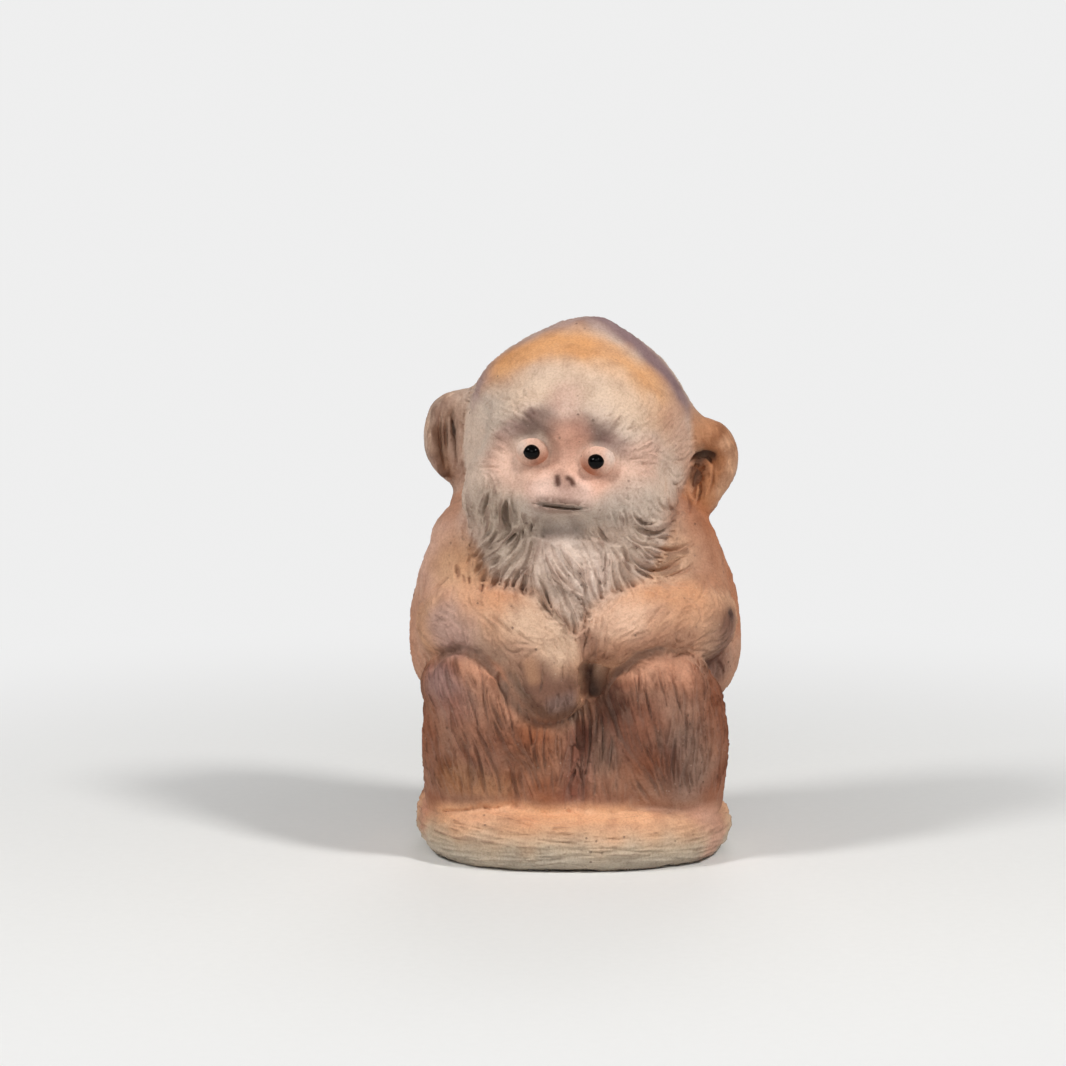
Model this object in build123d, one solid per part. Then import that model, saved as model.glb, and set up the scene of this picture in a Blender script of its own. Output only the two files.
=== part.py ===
"""A seated long-tailed monkey, built by hand from lumps of clay and fired.

All sizes are in millimetres. The origin is the centre of the underside, +Z is up and the face looks
along -Y. Right and left are the monkey's own, so its right side lies at -X.

The lumps are pressed together with slip while the clay is soft. Each smaller lump is shaped to the
face of the larger one that carries it, so the two meet with no gap. The torso and the head are
hollow. Their hollows join through the neck and open to the outside through the vent in the floor.
"""

import math
import os

from build123d import *

RIGHT = -1
LEFT = 1
SIDE_NAMES = {RIGHT: "right", LEFT: "left"}
FRONT = (0, -1, 0)
BACK = (0, 1, 0)
UP = (0, 0, 1)

# Floor: the oval slab that the figure stands on
floor_width = 27.0
floor_depth = 22.0
floor_thickness = 3.0
vent_diameter = 5.0
vent_setback = 4.0

# Tail: one thick roll laid round the floor, from the rump past the right side to the left hip
tail_roll = 6.8
tail_height = 7.0
tail_lap = 0.8
tail_flat = 0.5
tail_root_rise = 3.4

# Torso, with the shoulders and the rounded back
torso_width = 29.0
torso_depth = 23.5
torso_height = 40.6
torso_wall = 3.6
torso_setback = 2.0

# Chest: one pad of clay on each side of the beard, thumbed on to the torso down to the forearm
chest_pad_width = 10.6
chest_pad_thickness = 8.4
chest_pad_length = 13.0

# Neck: the way through between the hollows of the torso and the head
neck_bore = 5.0

# Shins and knees, drawn up in front
shin_width = 16.8
shin_depth = 12.6
shin_height = 20.4
shin_gap = 0.2
shin_reach = 4.0

# Knee cap and the ridge down each shin's inner side, in the shin's own clay
knee_cap_width = 9.8
knee_cap_depth = 9.6
knee_cap_height = 11.6
shin_ridge_width = 6.2
shin_ridge_depth = 6.4
shin_ridge_length = 15.0

# Thighs, folded along the flanks
thigh_width = 11.0
thigh_height = 16.5
thigh_length = 20.0

# Upper arms
upper_arm_width = 9.4
upper_arm_thickness = 9.6
upper_arm_length = 19.0

# Forearms, laid across the chest. Each wrist lies this far to its own side of the middle.
forearm_height = 8.4
forearm_thickness = 8.2
right_wrist_side = 2.6
left_wrist_side = 2.2

# Hands
right_hand_width = 7.8
right_hand_thickness = 6.0
right_hand_length = 10.4
left_hand_width = 5.8
left_hand_thickness = 5.6
left_hand_length = 8.0

# Head
head_width = 25.2
head_depth = 22.6
head_height = 25.2
head_wall = 4.0
head_sink = 9.2
head_forward = 1.8
head_shift = -1.1
head_roll = 7.5
head_yaw = -7.5

# Muzzle, brow, middle of the face and cheeks, pinched out of the head's own clay
muzzle_width = 11.6
muzzle_height = 9.4
muzzle_reach = 8.0
brow_width = 17.4
brow_height = 10.4
brow_reach = 7.2
face_width = 17.2
face_height = 11.2
face_reach = 8.8
cheek_width = 9.0
cheek_height = 11.0
cheek_depth = 12.0

# Mouth slit and nostrils
mouth_width = 5.6
mouth_gap = 0.5
mouth_depth = 1.0
nostril_diameter = 0.7
nostril_depth = 1.2
nostril_spacing = 1.5

# Eyes: round clay balls with a drop of black glaze in a pierced hole
eyeball_diameter = 4.2
eye_spacing = 7.0
pupil_diameter = 1.7
pupil_depth = 1.1
pupil_dome = 0.45

# Ears: thin cupped leaves
ear_width = 8.0
ear_height = 10.4
ear_thickness = 4.6
ear_wall = 1.1
ear_flare = 14.0

# Beard: the pad of clay that hangs from the cheeks and chin down to the forearms
beard_width = 18.5
beard_thickness = 8.4
beard_length = 19.0

# Every cut runs this far past the clay that it goes through
overrun = 1.0

# Tables for upright forms. Each row is a share up the form, then shares of its width and depth, and
# how far that section lies back, as a share of the depth.
torso_section_shares = [
    (0.00, 0.80, 0.74, -0.05),
    (0.14, 0.94, 0.93, 0.00),
    (0.34, 1.00, 1.00, 0.02),
    (0.54, 1.00, 0.96, 0.02),
    (0.71, 0.98, 0.86, 0.01),
    (0.84, 0.97, 0.78, -0.01),
    (0.92, 0.90, 0.70, -0.02),
    (0.98, 0.68, 0.52, -0.03),
    (1.00, 0.50, 0.38, -0.03),
]
head_section_shares = [
    (0.00, 0.28, 0.28, -0.06),
    (0.04, 0.50, 0.50, -0.05),
    (0.12, 0.74, 0.72, -0.03),
    (0.26, 0.93, 0.92, -0.01),
    (0.42, 1.00, 1.00, 0.00),
    (0.60, 0.99, 0.99, 0.01),
    (0.74, 0.87, 0.90, 0.02),
    (0.86, 0.63, 0.70, 0.03),
    (0.94, 0.38, 0.45, 0.04),
    (0.985, 0.18, 0.24, 0.04),
    (1.00, 0.07, 0.10, 0.04),
]
shin_section_shares = [
    (0.00, 0.86, 0.70, 0.14),
    (0.16, 0.93, 0.84, 0.10),
    (0.36, 0.99, 0.96, 0.03),
    (0.56, 1.00, 1.00, 0.00),
    (0.74, 0.94, 0.98, 0.01),
    (0.87, 0.78, 0.84, 0.04),
    (0.95, 0.54, 0.60, 0.07),
    (1.00, 0.22, 0.28, 0.10),
]
beard_section_shares = [
    (0.00, 0.16, 0.36, 0.10),
    (0.06, 0.30, 0.56, 0.06),
    (0.20, 0.54, 0.82, 0.00),
    (0.42, 0.84, 1.00, -0.06),
    (0.64, 1.00, 1.00, -0.02),
    (0.84, 0.98, 0.86, 0.10),
    (1.00, 0.84, 0.60, 0.20),
]

# Table for a rolled egg of clay: a share along it, then a share of its width and thickness.
egg_shares = [
    (0.00, 0.26),
    (0.04, 0.46),
    (0.14, 0.74),
    (0.32, 0.95),
    (0.50, 1.00),
    (0.70, 0.94),
    (0.87, 0.72),
    (0.96, 0.44),
    (1.00, 0.24),
]

# Table for the tail. Each row is an angle round the floor in degrees from +X, then shares of the
# roll's breadth and height, and of the rise at the root.
tail_section_shares = [
    (78.0, 0.62, 0.66, 1.00),
    (98.0, 0.90, 0.90, 0.62),
    (126.0, 1.02, 1.10, 0.22),
    (154.0, 1.04, 1.20, 0.06),
    (182.0, 1.02, 1.16, 0.00),
    (212.0, 1.00, 1.04, 0.00),
    (242.0, 1.00, 1.02, 0.00),
    (270.0, 1.02, 1.00, 0.00),
    (298.0, 1.02, 1.00, 0.00),
    (328.0, 1.02, 1.01, 0.00),
    (356.0, 0.98, 0.98, 0.00),
    (382.0, 0.86, 0.84, 0.00),
    (402.0, 0.62, 0.62, 0.00),
    (412.0, 0.30, 0.34, 0.00),
]

# How square the tail's route is: 1 is a plain oval, less is squarer. The step is in degrees.
route_power_share = 0.8
route_step = 1.0

# Places that several pieces share
torso_top = floor_thickness + torso_height
torso_front = torso_setback - 0.46 * torso_depth
head_base = torso_top - head_sink
head_place = Location((head_shift, -head_forward, head_base), (0, head_roll, head_yaw))
face_front = -head_depth / 2
shoulder_level = floor_thickness + 0.82 * torso_height
elbow_level = shoulder_level - upper_arm_length
knee_level = floor_thickness + shin_height
knee_cap_level = knee_level - 0.52 * knee_cap_height
forearm_level = knee_level + 0.36 * forearm_height


def lofted(sections):
    """One solid through a row of ellipses, each given by its plane and two half sizes."""
    faces = [(plane * Ellipse(half_x, half_y)).face() for plane, half_x, half_y in sections]
    return loft(faces)


def upright(height, width, depth, section_shares, seam):
    """An upright form from Z 0 to height, with its surface's seam on the side given."""
    sections = []
    for up_share, width_share, depth_share, back_share in section_shares:
        origin = (0, back_share * depth, up_share * height)
        plane = Plane(origin=origin, x_dir=seam, z_dir=UP)
        sections.append((plane, depth_share * depth / 2, width_share * width / 2))
    return lofted(sections)


def egg(start, end, width, thickness, across):
    """A rounded roll of clay from start to end. Its width runs along the direction across."""
    start, end = Vector(start), Vector(end)
    sections = []
    for along_share, size_share in egg_shares:
        origin = start + (end - start) * along_share
        plane = Plane(origin=origin, x_dir=across, z_dir=end - start)
        sections.append((plane, size_share * width / 2, size_share * thickness / 2))
    return lofted(sections)


def ball(centre, width, depth, height):
    """A ball of clay pressed to three different sizes."""
    return Pos(*centre) * scale(Sphere(1), by=(width / 2, depth / 2, height / 2))


def rod(x, front, z, diameter, length):
    """A round rod that runs back along +Y from its front face."""
    return Pos(x, front, z) * Rot(-90, 0, 0) * extrude(Circle(diameter / 2), length)


def pressed_on(piece, *carriers):
    """The piece, shaped to the faces of what carries it. Crumbs that the fit cuts off are dropped."""
    for carrier in carriers:
        piece = max(piece.cut(carrier).solids(), key=lambda solid: solid.volume)
    return piece


def floor_form():
    """The oval slab, before its vent is pierced."""
    return extrude(Ellipse(floor_width / 2, floor_depth / 2), floor_thickness)


def vent_form():
    """The vent: through the floor and on through the torso's own bottom."""
    length = overrun + floor_thickness + 2 * torso_wall
    return Pos(0, vent_setback, -overrun) * extrude(Circle(vent_diameter / 2), length)


def route_point(angle):
    """A point on the tail's route: an oval round the floor, squared off toward its corners."""
    turn = math.radians(angle)
    across, back = math.cos(turn), math.sin(turn)
    x = (floor_width / 2 + tail_lap) * math.copysign(abs(across) ** route_power_share, across)
    y = (floor_depth / 2 + tail_lap) * math.copysign(abs(back) ** route_power_share, back)
    return Vector(x, y, 0)


def tail_form():
    """The roll round the floor, cut flat underneath so that it stands."""
    sections = []
    for angle, breadth_share, height_share, rise_share in tail_section_shares:
        half_height = height_share * tail_height / 2
        level = half_height - tail_flat + rise_share * tail_root_rise
        onward = route_point(angle + route_step) - route_point(angle - route_step)
        outward = onward.cross(Vector(UP))
        origin = route_point(angle) + Vector(UP) * level
        plane = Plane(origin=origin, x_dir=outward, z_dir=onward)
        sections.append((plane, breadth_share * tail_roll / 2, half_height))
    ground = Pos(0, 0, -tail_height / 2) * Box(
        2 * (floor_width + tail_roll), 2 * (floor_depth + tail_roll), tail_height
    )
    return lofted(sections) - ground


def chest_pad_form(side):
    """One pad of the chest, from the shoulder's front down on to the forearm."""
    x = side * 0.37 * torso_width
    top = Vector(x, torso_front + 0.62 * chest_pad_thickness, shoulder_level + 0.2 * chest_pad_length)
    foot = top + Vector(0, -0.14 * chest_pad_thickness, -chest_pad_length)
    return egg(top, foot, chest_pad_width, chest_pad_thickness, (1, 0, 0))


def torso_form():
    """The torso's outside with its chest pads. It runs on down into the floor, which trims it."""
    height = torso_height + overrun
    form = upright(height, torso_width, torso_depth, torso_section_shares, BACK)
    trunk = Pos(0, torso_setback, floor_thickness - overrun) * form
    return trunk.fuse(chest_pad_form(RIGHT), chest_pad_form(LEFT))


def torso_hollow():
    """The hollow inside the torso."""
    return ball(
        (0, torso_setback, floor_thickness + torso_height / 2),
        torso_width - 2 * torso_wall,
        torso_depth - 2 * torso_wall,
        torso_height - 2 * torso_wall,
    )


def neck_form():
    """The way through from the torso's hollow up into the head's."""
    low = torso_top - 2 * torso_wall
    length = 2 * torso_wall + 0.4 * head_height
    return Pos(head_shift / 2, 0, low) * extrude(Circle(neck_bore / 2), length)


def head_form():
    """The head's outside as one lump: skull, muzzle, brow, face and cheeks, in the head's own frame."""
    skull = upright(head_height, head_width, head_depth, head_section_shares, BACK)
    muzzle = ball(
        (0, face_front + 0.26 * muzzle_reach, 0.245 * head_height),
        muzzle_width,
        muzzle_reach,
        muzzle_height,
    )
    brow = ball(
        (0, face_front + 0.52 * brow_reach, 0.5 * head_height), brow_width, brow_reach, brow_height
    )
    face = ball(
        (0, face_front + 0.44 * face_reach, 0.29 * head_height), face_width, face_reach, face_height
    )
    cheeks = []
    for side in (RIGHT, LEFT):
        centre = (side * 0.26 * head_width, 0.52 * face_front, 0.27 * head_height)
        cheeks.append(ball(centre, cheek_width, cheek_depth, cheek_height))
    return skull.fuse(muzzle, brow, face, *cheeks)


def head_hollow():
    """The hollow inside the skull, in the head's own frame."""
    return ball(
        (0, 0, 0.58 * head_height),
        head_width - 2 * head_wall,
        head_depth - 2 * head_wall,
        0.84 * head_height - 2 * head_wall,
    )


def mouth_form():
    """The slit between the lips, in the head's own frame."""
    front = face_front - 0.24 * muzzle_reach
    slit = extrude(Ellipse(mouth_width / 2, mouth_gap / 2), mouth_depth)
    return Pos(0, front + mouth_depth, 0.215 * head_height) * Rot(90, 0, 0) * slit


def nostril_form(side):
    """One pierced nostril, in the head's own frame."""
    front = face_front - 0.24 * muzzle_reach
    return rod(side * nostril_spacing / 2, front, 0.335 * head_height, nostril_diameter, nostril_depth)


def eye_centre(side):
    """The middle of an eyeball in the head's own frame."""
    return (side * eye_spacing / 2, -0.45 * head_depth, 0.435 * head_height)


def eyeball_form(side):
    """A ball of clay, pierced from the front for the pupil."""
    x, y, z = eye_centre(side)
    front = y - eyeball_diameter / 2
    hole = rod(x, front - overrun, z, pupil_diameter, pupil_depth + overrun)
    return Pos(x, y, z) * Sphere(eyeball_diameter / 2) - hole


def pupil_form(side):
    """The drop of glaze: it fills the pierced hole and stands a little proud as a dome."""
    x, y, z = eye_centre(side)
    front = y - eyeball_diameter / 2
    stem = rod(x, front, z, pupil_diameter, pupil_depth)
    half = pupil_diameter / 2
    dome_radius = (half * half + pupil_dome * pupil_dome) / (2 * pupil_dome)
    dome = Pos(x, front - pupil_dome + dome_radius, z) * Sphere(dome_radius)
    cap = rod(x, front - pupil_dome, z, pupil_diameter, pupil_dome)
    return stem + (dome & cap)


def ear_form(side):
    """A cupped leaf, hollowed from the front, in the head's own frame."""
    leaf = ball((0, 0, 0), ear_width, ear_thickness, ear_height)
    cup = ball(
        (0, -ear_thickness / 2, 0),
        ear_width - 2 * ear_wall,
        ear_thickness,
        ear_height - 2 * ear_wall,
    )
    level_share = 0.39 if side == RIGHT else 0.42
    x = side * (0.5 * head_width + 0.12 * ear_width)
    place = Pos(x, 0.06 * head_depth, level_share * head_height)
    return place * Rot(0, side * ear_flare, side * ear_flare) * (leaf - cup)


def beard_form():
    """The pad of clay under the chin, wide at the cheeks and pointed where the forearms meet."""
    form = upright(beard_length, beard_width, beard_thickness, beard_section_shares, FRONT)
    foot_level = head_base + 0.2 * head_height - 0.8 * beard_length
    return Pos(0.6 * head_shift, torso_front + 0.12 * beard_thickness, foot_level) * form


def shin_form(side):
    """The drawn-up shin with its knee. It dips into the floor less far than the torso."""
    dip = overrun / 2
    form = upright(shin_height + dip, shin_width, shin_depth, shin_section_shares, FRONT)
    x = side * (shin_width + shin_gap) / 2
    front = torso_front - shin_reach
    shin = Pos(x, front + shin_depth / 2, floor_thickness - dip) * form
    knee_centre = (x + side * 0.16 * knee_cap_width, front + 0.44 * knee_cap_depth, knee_cap_level)
    knee = ball(knee_centre, knee_cap_width, knee_cap_depth, knee_cap_height)
    ridge_x = side * (shin_ridge_width + shin_gap) / 2
    ridge_top = Vector(ridge_x, front + 0.42 * shin_ridge_depth, knee_cap_level)
    ridge_foot = ridge_top + Vector(0, 0.1 * shin_ridge_depth, -shin_ridge_length)
    ridge = egg(ridge_top, ridge_foot, shin_ridge_width, shin_ridge_depth, (1, 0, 0))
    return shin.fuse(knee, ridge)


def thigh_form(side):
    """The folded thigh, from the hip forward to the knee."""
    x = side * (0.5 * torso_width - 0.28 * thigh_width)
    level = floor_thickness + 0.45 * thigh_height
    hip = (x, torso_setback + 0.6 * thigh_length, level)
    knee = (x, torso_setback - 0.4 * thigh_length, level + 0.1 * thigh_height)
    return egg(hip, knee, thigh_width, thigh_height, (side, 0, 0))


def upper_arm_form(side):
    """The upper arm, from the shoulder down the flank to the elbow."""
    shoulder = (side * 0.41 * torso_width, torso_setback, shoulder_level)
    elbow = (side * 0.52 * torso_width, -0.5 * torso_setback, elbow_level)
    return egg(shoulder, elbow, upper_arm_width, upper_arm_thickness, (side, 0, 0))


def forearm_line(side):
    """Where a forearm starts, at the elbow, and where it ends, at the wrist."""
    wrist_side = right_wrist_side if side == RIGHT else left_wrist_side
    start = Vector(side * 0.57 * torso_width, 0.58 * torso_front, forearm_level)
    wrist_front = torso_front - 0.54 * forearm_thickness
    return start, Vector(side * wrist_side, wrist_front, forearm_level - 0.13 * forearm_height)


def forearm_form(side):
    """The forearm, laid round the chest on top of the knee."""
    start, wrist = forearm_line(side)
    return egg(start, wrist, forearm_height, forearm_thickness, UP)


def right_hand_form():
    """The right hand, hanging from the wrist between the knees."""
    wrist = forearm_line(RIGHT)[1]
    top = wrist + Vector(-0.1 * right_hand_width, 0.1 * right_hand_thickness, 0.1 * right_hand_length)
    tip = top + Vector(-0.16 * right_hand_width, 0.2 * right_hand_thickness, -right_hand_length)
    return egg(tip, top, right_hand_thickness, right_hand_width, FRONT)


def left_hand_form():
    """The left hand, tucked behind the right one."""
    wrist = forearm_line(LEFT)[1]
    top = wrist + Vector(-0.2 * left_hand_width, 0.5 * left_hand_thickness, 0.1 * left_hand_length)
    tip = wrist + Vector(-0.2 * left_hand_width, 0.9 * left_hand_thickness, -0.9 * left_hand_length)
    return egg(tip, top, left_hand_thickness, left_hand_width, FRONT)


def build():
    """Every piece by its name. Each is shaped to the whole forms of the larger ones it touches."""
    sides = (RIGHT, LEFT)
    floor = floor_form()
    torso = pressed_on(torso_form(), floor)
    tail = tail_form()
    head = head_place * head_form()
    shins = {side: shin_form(side) for side in sides}
    thighs = {side: thigh_form(side) for side in sides}
    upper_arms = {side: upper_arm_form(side) for side in sides}
    forearms = {side: forearm_form(side) for side in sides}
    right_hand = right_hand_form()
    left_hand = left_hand_form()

    pieces = {"floor": floor - vent_form(), "tail": pressed_on(tail, floor, torso)}
    pieces["torso"] = pressed_on(torso, torso_hollow(), neck_form(), vent_form())
    sockets = [head_place * Pos(*eye_centre(side)) * Sphere(eyeball_diameter / 2) for side in sides]
    pierced = [head_place * nostril_form(side) for side in sides] + [head_place * mouth_form()]
    pieces["head"] = pressed_on(
        head, torso, head_place * head_hollow(), neck_form(), *sockets, *pierced
    )
    pieces["beard"] = pressed_on(beard_form(), torso, head, *forearms.values(), left_hand)
    for side in sides:
        name = SIDE_NAMES[side]
        pieces[name + "_shin"] = pressed_on(shins[side], torso, tail, floor)
        pieces[name + "_thigh"] = pressed_on(thighs[side], torso, tail, floor, shins[side])
        pieces[name + "_upper_arm"] = pressed_on(
            upper_arms[side], torso, head, shins[side], thighs[side]
        )
        pieces[name + "_ear"] = pressed_on(head_place * ear_form(side), head, torso)
        pieces[name + "_eyeball"] = head_place * eyeball_form(side)
        pieces[name + "_pupil"] = head_place * pupil_form(side)
    pieces["right_forearm"] = pressed_on(
        forearms[RIGHT], torso, upper_arms[RIGHT], shins[RIGHT]
    )
    pieces["left_forearm"] = pressed_on(
        forearms[LEFT], torso, upper_arms[LEFT], shins[LEFT], forearms[RIGHT]
    )
    hand_under = [*shins.values(), *forearms.values()]
    pieces["right_hand"] = pressed_on(right_hand, torso, *hand_under)
    pieces["left_hand"] = pressed_on(left_hand, torso, *hand_under, right_hand)
    return pieces


os.makedirs("parts", exist_ok=True)
for piece_name, piece in build().items():
    export_step(piece, f"parts/{piece_name}.step")
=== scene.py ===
"""The looks of a seated clay monkey: fired clay without glaze, hair scratched in with a needle tool,
colours airbrushed on with painted shade and highlights, and two drops of black glaze for pupils.

The clay is worked as fields on one lattice, in millimetres: each CAD solid is read as a distance
field, lumps are pressed on and blended by thumb, hair is scratched in along the way it lies, and
each piece is then cut free as its own closed skin. The neighbours' skins pass just under each other,
so no seam shows where two lumps were smoothed together.
"""

import math

import bpy
import numpy as np
import openvdb
from mathutils import Euler, Matrix, Vector


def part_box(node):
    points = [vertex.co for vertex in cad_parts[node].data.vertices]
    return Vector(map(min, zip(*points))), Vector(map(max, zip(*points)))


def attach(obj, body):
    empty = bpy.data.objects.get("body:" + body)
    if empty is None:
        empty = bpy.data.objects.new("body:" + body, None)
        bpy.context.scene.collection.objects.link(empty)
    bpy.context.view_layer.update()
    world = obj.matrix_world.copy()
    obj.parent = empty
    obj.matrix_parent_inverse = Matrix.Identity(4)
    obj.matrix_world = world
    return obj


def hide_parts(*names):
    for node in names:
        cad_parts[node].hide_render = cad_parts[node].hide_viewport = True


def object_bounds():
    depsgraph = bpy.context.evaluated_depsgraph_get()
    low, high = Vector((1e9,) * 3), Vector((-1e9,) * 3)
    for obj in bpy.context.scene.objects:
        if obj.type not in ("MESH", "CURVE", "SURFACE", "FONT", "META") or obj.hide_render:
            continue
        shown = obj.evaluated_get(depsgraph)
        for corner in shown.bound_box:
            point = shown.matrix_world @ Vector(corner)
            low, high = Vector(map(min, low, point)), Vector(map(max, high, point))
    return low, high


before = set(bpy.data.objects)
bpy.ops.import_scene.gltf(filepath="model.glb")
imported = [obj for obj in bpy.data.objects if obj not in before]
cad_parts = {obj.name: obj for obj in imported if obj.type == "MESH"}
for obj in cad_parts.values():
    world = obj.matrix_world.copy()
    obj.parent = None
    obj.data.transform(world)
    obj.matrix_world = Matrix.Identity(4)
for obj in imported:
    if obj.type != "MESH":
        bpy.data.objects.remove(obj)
cad_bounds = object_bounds()

MM = 0.001
IMAGE_SIDE = 1066

# Camera: where it stands and what it aims at, in millimetres and degrees
camera_distance = 450.0
camera_rise = 8.5
aim_height = 29.0
aim_pixel = (575.0, 590.0)
pixels_per_mm = 9.0

# Lattice: the spacing of the fields, how far each side of a surface they are worked out, the room left
# round the figure, and the most triangles that a skin keeps
spacing = 0.17
band = 2.8
margin = 1.6
most_faces = 190000

# How the pieces part from each other: how far a skin goes on under its neighbour's, how far below it
# stays there, and how steeply it then dives
underlap = 0.5
underlap_depth = 0.03
dive = 2.0

# Added to what something is divided by, so that it is never zero
tiny = 1e-6
tiniest = 1e-9

# Ways in the shared frame
back_way = np.array([0.0, 1.0, 0.0])
down_way = np.array([0.0, 0.0, -1.0])
side_way = np.array([1.0, 0.0, 0.0])


# Lattice and fields

low_corner = np.floor((np.array(cad_bounds[0]) / MM - margin) / spacing).astype(int)
high_corner = np.ceil((np.array(cad_bounds[1]) / MM + margin) / spacing).astype(int)
lattice_shape = tuple(high_corner - low_corner + 1)
LATTICE = openvdb.createLinearTransform(voxelSize=spacing)
COARSE_LATTICE = openvdb.createLinearTransform(voxelSize=2 * spacing)


class Field:
    """Distances to a surface, negative inside, on a box of the lattice that starts at corner."""

    def __init__(self, corner, values):
        self.corner = np.array(corner)
        self.values = values

    def window(self):
        """This box as slices of the whole lattice."""
        start = self.corner - low_corner
        stop = start + self.values.shape
        return tuple(slice(a, b) for a, b in zip(start, stop))


def boxed(low, high):
    """The lattice's part between two corners in millimetres: its first index and its coordinates."""
    first = np.maximum(np.floor(np.array(low) / spacing).astype(int), low_corner)
    last = np.minimum(np.ceil(np.array(high) / spacing).astype(int), high_corner)
    axes = [np.arange(a, b + 1, dtype=np.float32) * spacing for a, b in zip(first, last)]
    return first, np.meshgrid(*axes, indexing="ij", sparse=True)


def vertex_places(mesh):
    """A mesh's vertices, in millimetres."""
    places = np.empty(3 * len(mesh.vertices), dtype=np.float32)
    mesh.vertices.foreach_get("co", places)
    return places.reshape(-1, 3) / MM


def node_field(name):
    """A CAD node's solid as a field, read on every second point and filled in between."""
    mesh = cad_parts[name].data
    mesh.calc_loop_triangles()
    corners = np.empty(3 * len(mesh.loop_triangles), dtype=np.int32)
    mesh.loop_triangles.foreach_get("vertices", corners)
    grid = openvdb.FloatGrid.createLevelSetFromPolygons(
        vertex_places(mesh),
        triangles=corners.reshape(-1, 3).astype(np.uint32),
        transform=COARSE_LATTICE,
        halfWidth=band / (2 * spacing),
    )
    first, last = (np.array(corner) for corner in grid.evalActiveVoxelBoundingBox())
    values = np.empty(tuple(last - first + 1), dtype=np.float32)
    grid.copyToArray(values, tuple(int(i) for i in first))
    for axis in range(3):
        values = np.moveaxis(values, axis, 0)
        filled = np.empty((2 * len(values) - 1, *values.shape[1:]), dtype=np.float32)
        filled[::2] = values
        filled[1::2] = (values[:-1] + values[1:]) / 2
        values = np.moveaxis(filled, 0, axis)
    start = np.maximum(2 * first, low_corner)
    stop = np.minimum(2 * last, high_corner) + 1
    cut = tuple(slice(a, b) for a, b in zip(start - 2 * first, stop - 2 * first))
    return Field(start, np.ascontiguousarray(values[cut]))


def ball(centre, radii, turn=None):
    """A ball of clay pressed to three radii, turned by a matrix."""
    turn = np.array(turn or Matrix.Identity(3))
    reach = max(radii) + band
    first, axes = boxed(np.array(centre) - reach, np.array(centre) + reach)
    offsets = [axis - place for axis, place in zip(axes, centre)]
    near = 0.0
    steep = 0.0
    for k, radius in enumerate(radii):
        along = sum(offset * turn[j][k] for j, offset in enumerate(offsets))
        near = near + (along / radius) ** 2
        steep = steep + (along / radius**2) ** 2
    near = np.sqrt(near)
    values = near * (near - 1) / np.sqrt(steep + tiny)
    return Field(first, np.clip(values, -band, band).astype(np.float32))


# How far one length of a rolled string is smoothed into the next
bend_soft = 0.3


def roll(points, radii):
    """A rolled string of clay through some points, with a radius at each."""
    points = np.array(points, dtype=float)
    reach = max(radii) + band
    first, axes = boxed(points.min(axis=0) - reach, points.max(axis=0) + reach)
    values = None
    for start, end, thick, thin in zip(points, points[1:], radii, radii[1:]):
        line = end - start
        span = float(line @ line) + tiniest
        share = sum((axis - a) * b for axis, a, b in zip(axes, start, line)) / span
        share = np.clip(share, 0, 1)
        gap = sum((axis - a - share * b) ** 2 for axis, a, b in zip(axes, start, line))
        part = np.sqrt(gap) - (thick + (thin - thick) * share)
        values = part if values is None else merged(values, part, bend_soft)
    return Field(first, np.clip(values, -band, band).astype(np.float32))


def merged(a, b, soft):
    """Two fields joined, with a fillet that reaches about soft to each side."""
    mix = np.maximum(soft - np.abs(a - b), 0) / soft
    return np.minimum(a, b) - mix * mix * soft / 4


def press_on(whole, field, soft):
    """Clay pressed on to the whole lattice's field, in place."""
    window = field.window()
    whole[window] = merged(whole[window], field.values, soft)


def press_in(whole, field, soft):
    """A dent pressed into the whole lattice's field, in place."""
    window = field.window()
    whole[window] = -merged(-whole[window], field.values, soft)


def smoothed(values, reach):
    """A field after a wet finger: three passes of a running mean along each axis."""
    width = max(1, int(round(reach / spacing)))
    for axis in range(3):
        for _ in range(3):
            pad = [(0, 0)] * 3
            pad[axis] = (width + 1, width)
            total = np.cumsum(np.pad(values, pad, mode="edge"), axis=axis, dtype=np.float64)
            ahead = np.take(total, range(2 * width + 1, total.shape[axis]), axis=axis)
            behind = np.take(total, range(0, total.shape[axis] - 2 * width - 1), axis=axis)
            values = ((ahead - behind) / (2 * width + 1)).astype(np.float32)
    return values


def waves(cell, seed):
    """Soft random swells over the whole lattice, between -1 and 1, about cell across."""
    step = cell / spacing
    coarse = tuple(int(n / step) + 3 for n in lattice_shape)
    values = np.random.default_rng(seed).uniform(-1, 1, coarse).astype(np.float32)
    for axis, count in enumerate(lattice_shape):
        place = np.arange(count) / step
        index = place.astype(int)
        share = place - index
        share = (share * share * (3 - 2 * share)).astype(np.float32)
        shape = [1, 1, 1]
        shape[axis] = count
        share = share.reshape(shape)
        values = np.take(values, index, axis) * (1 - share) + np.take(values, index + 1, axis) * share
    return values


def read_at(values, points, corner=None):
    """A field at some points, in millimetres, by straight interpolation; the whole lattice's by default."""
    place = points / spacing - (low_corner if corner is None else corner)
    place = np.clip(place, 0, np.array(values.shape) - 1.001)
    index = place.astype(int)
    share = place - index
    total = 0.0
    for i in (0, 1):
        for j in (0, 1):
            for k in (0, 1):
                weight = np.abs(1 - i - share[:, 0]) * np.abs(1 - j - share[:, 1])
                weight = weight * np.abs(1 - k - share[:, 2])
                total = total + weight * values[index[:, 0] + i, index[:, 1] + j, index[:, 2] + k]
    return total


def outward_at(values, points):
    """The surface's outward direction at some points."""
    steps = np.eye(3) * spacing
    slope = [read_at(values, points + step) - read_at(values, points - step) for step in steps]
    slope = np.stack(slope, axis=1)
    return slope / (np.linalg.norm(slope, axis=1, keepdims=True) + tiniest)


# Camera

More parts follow.
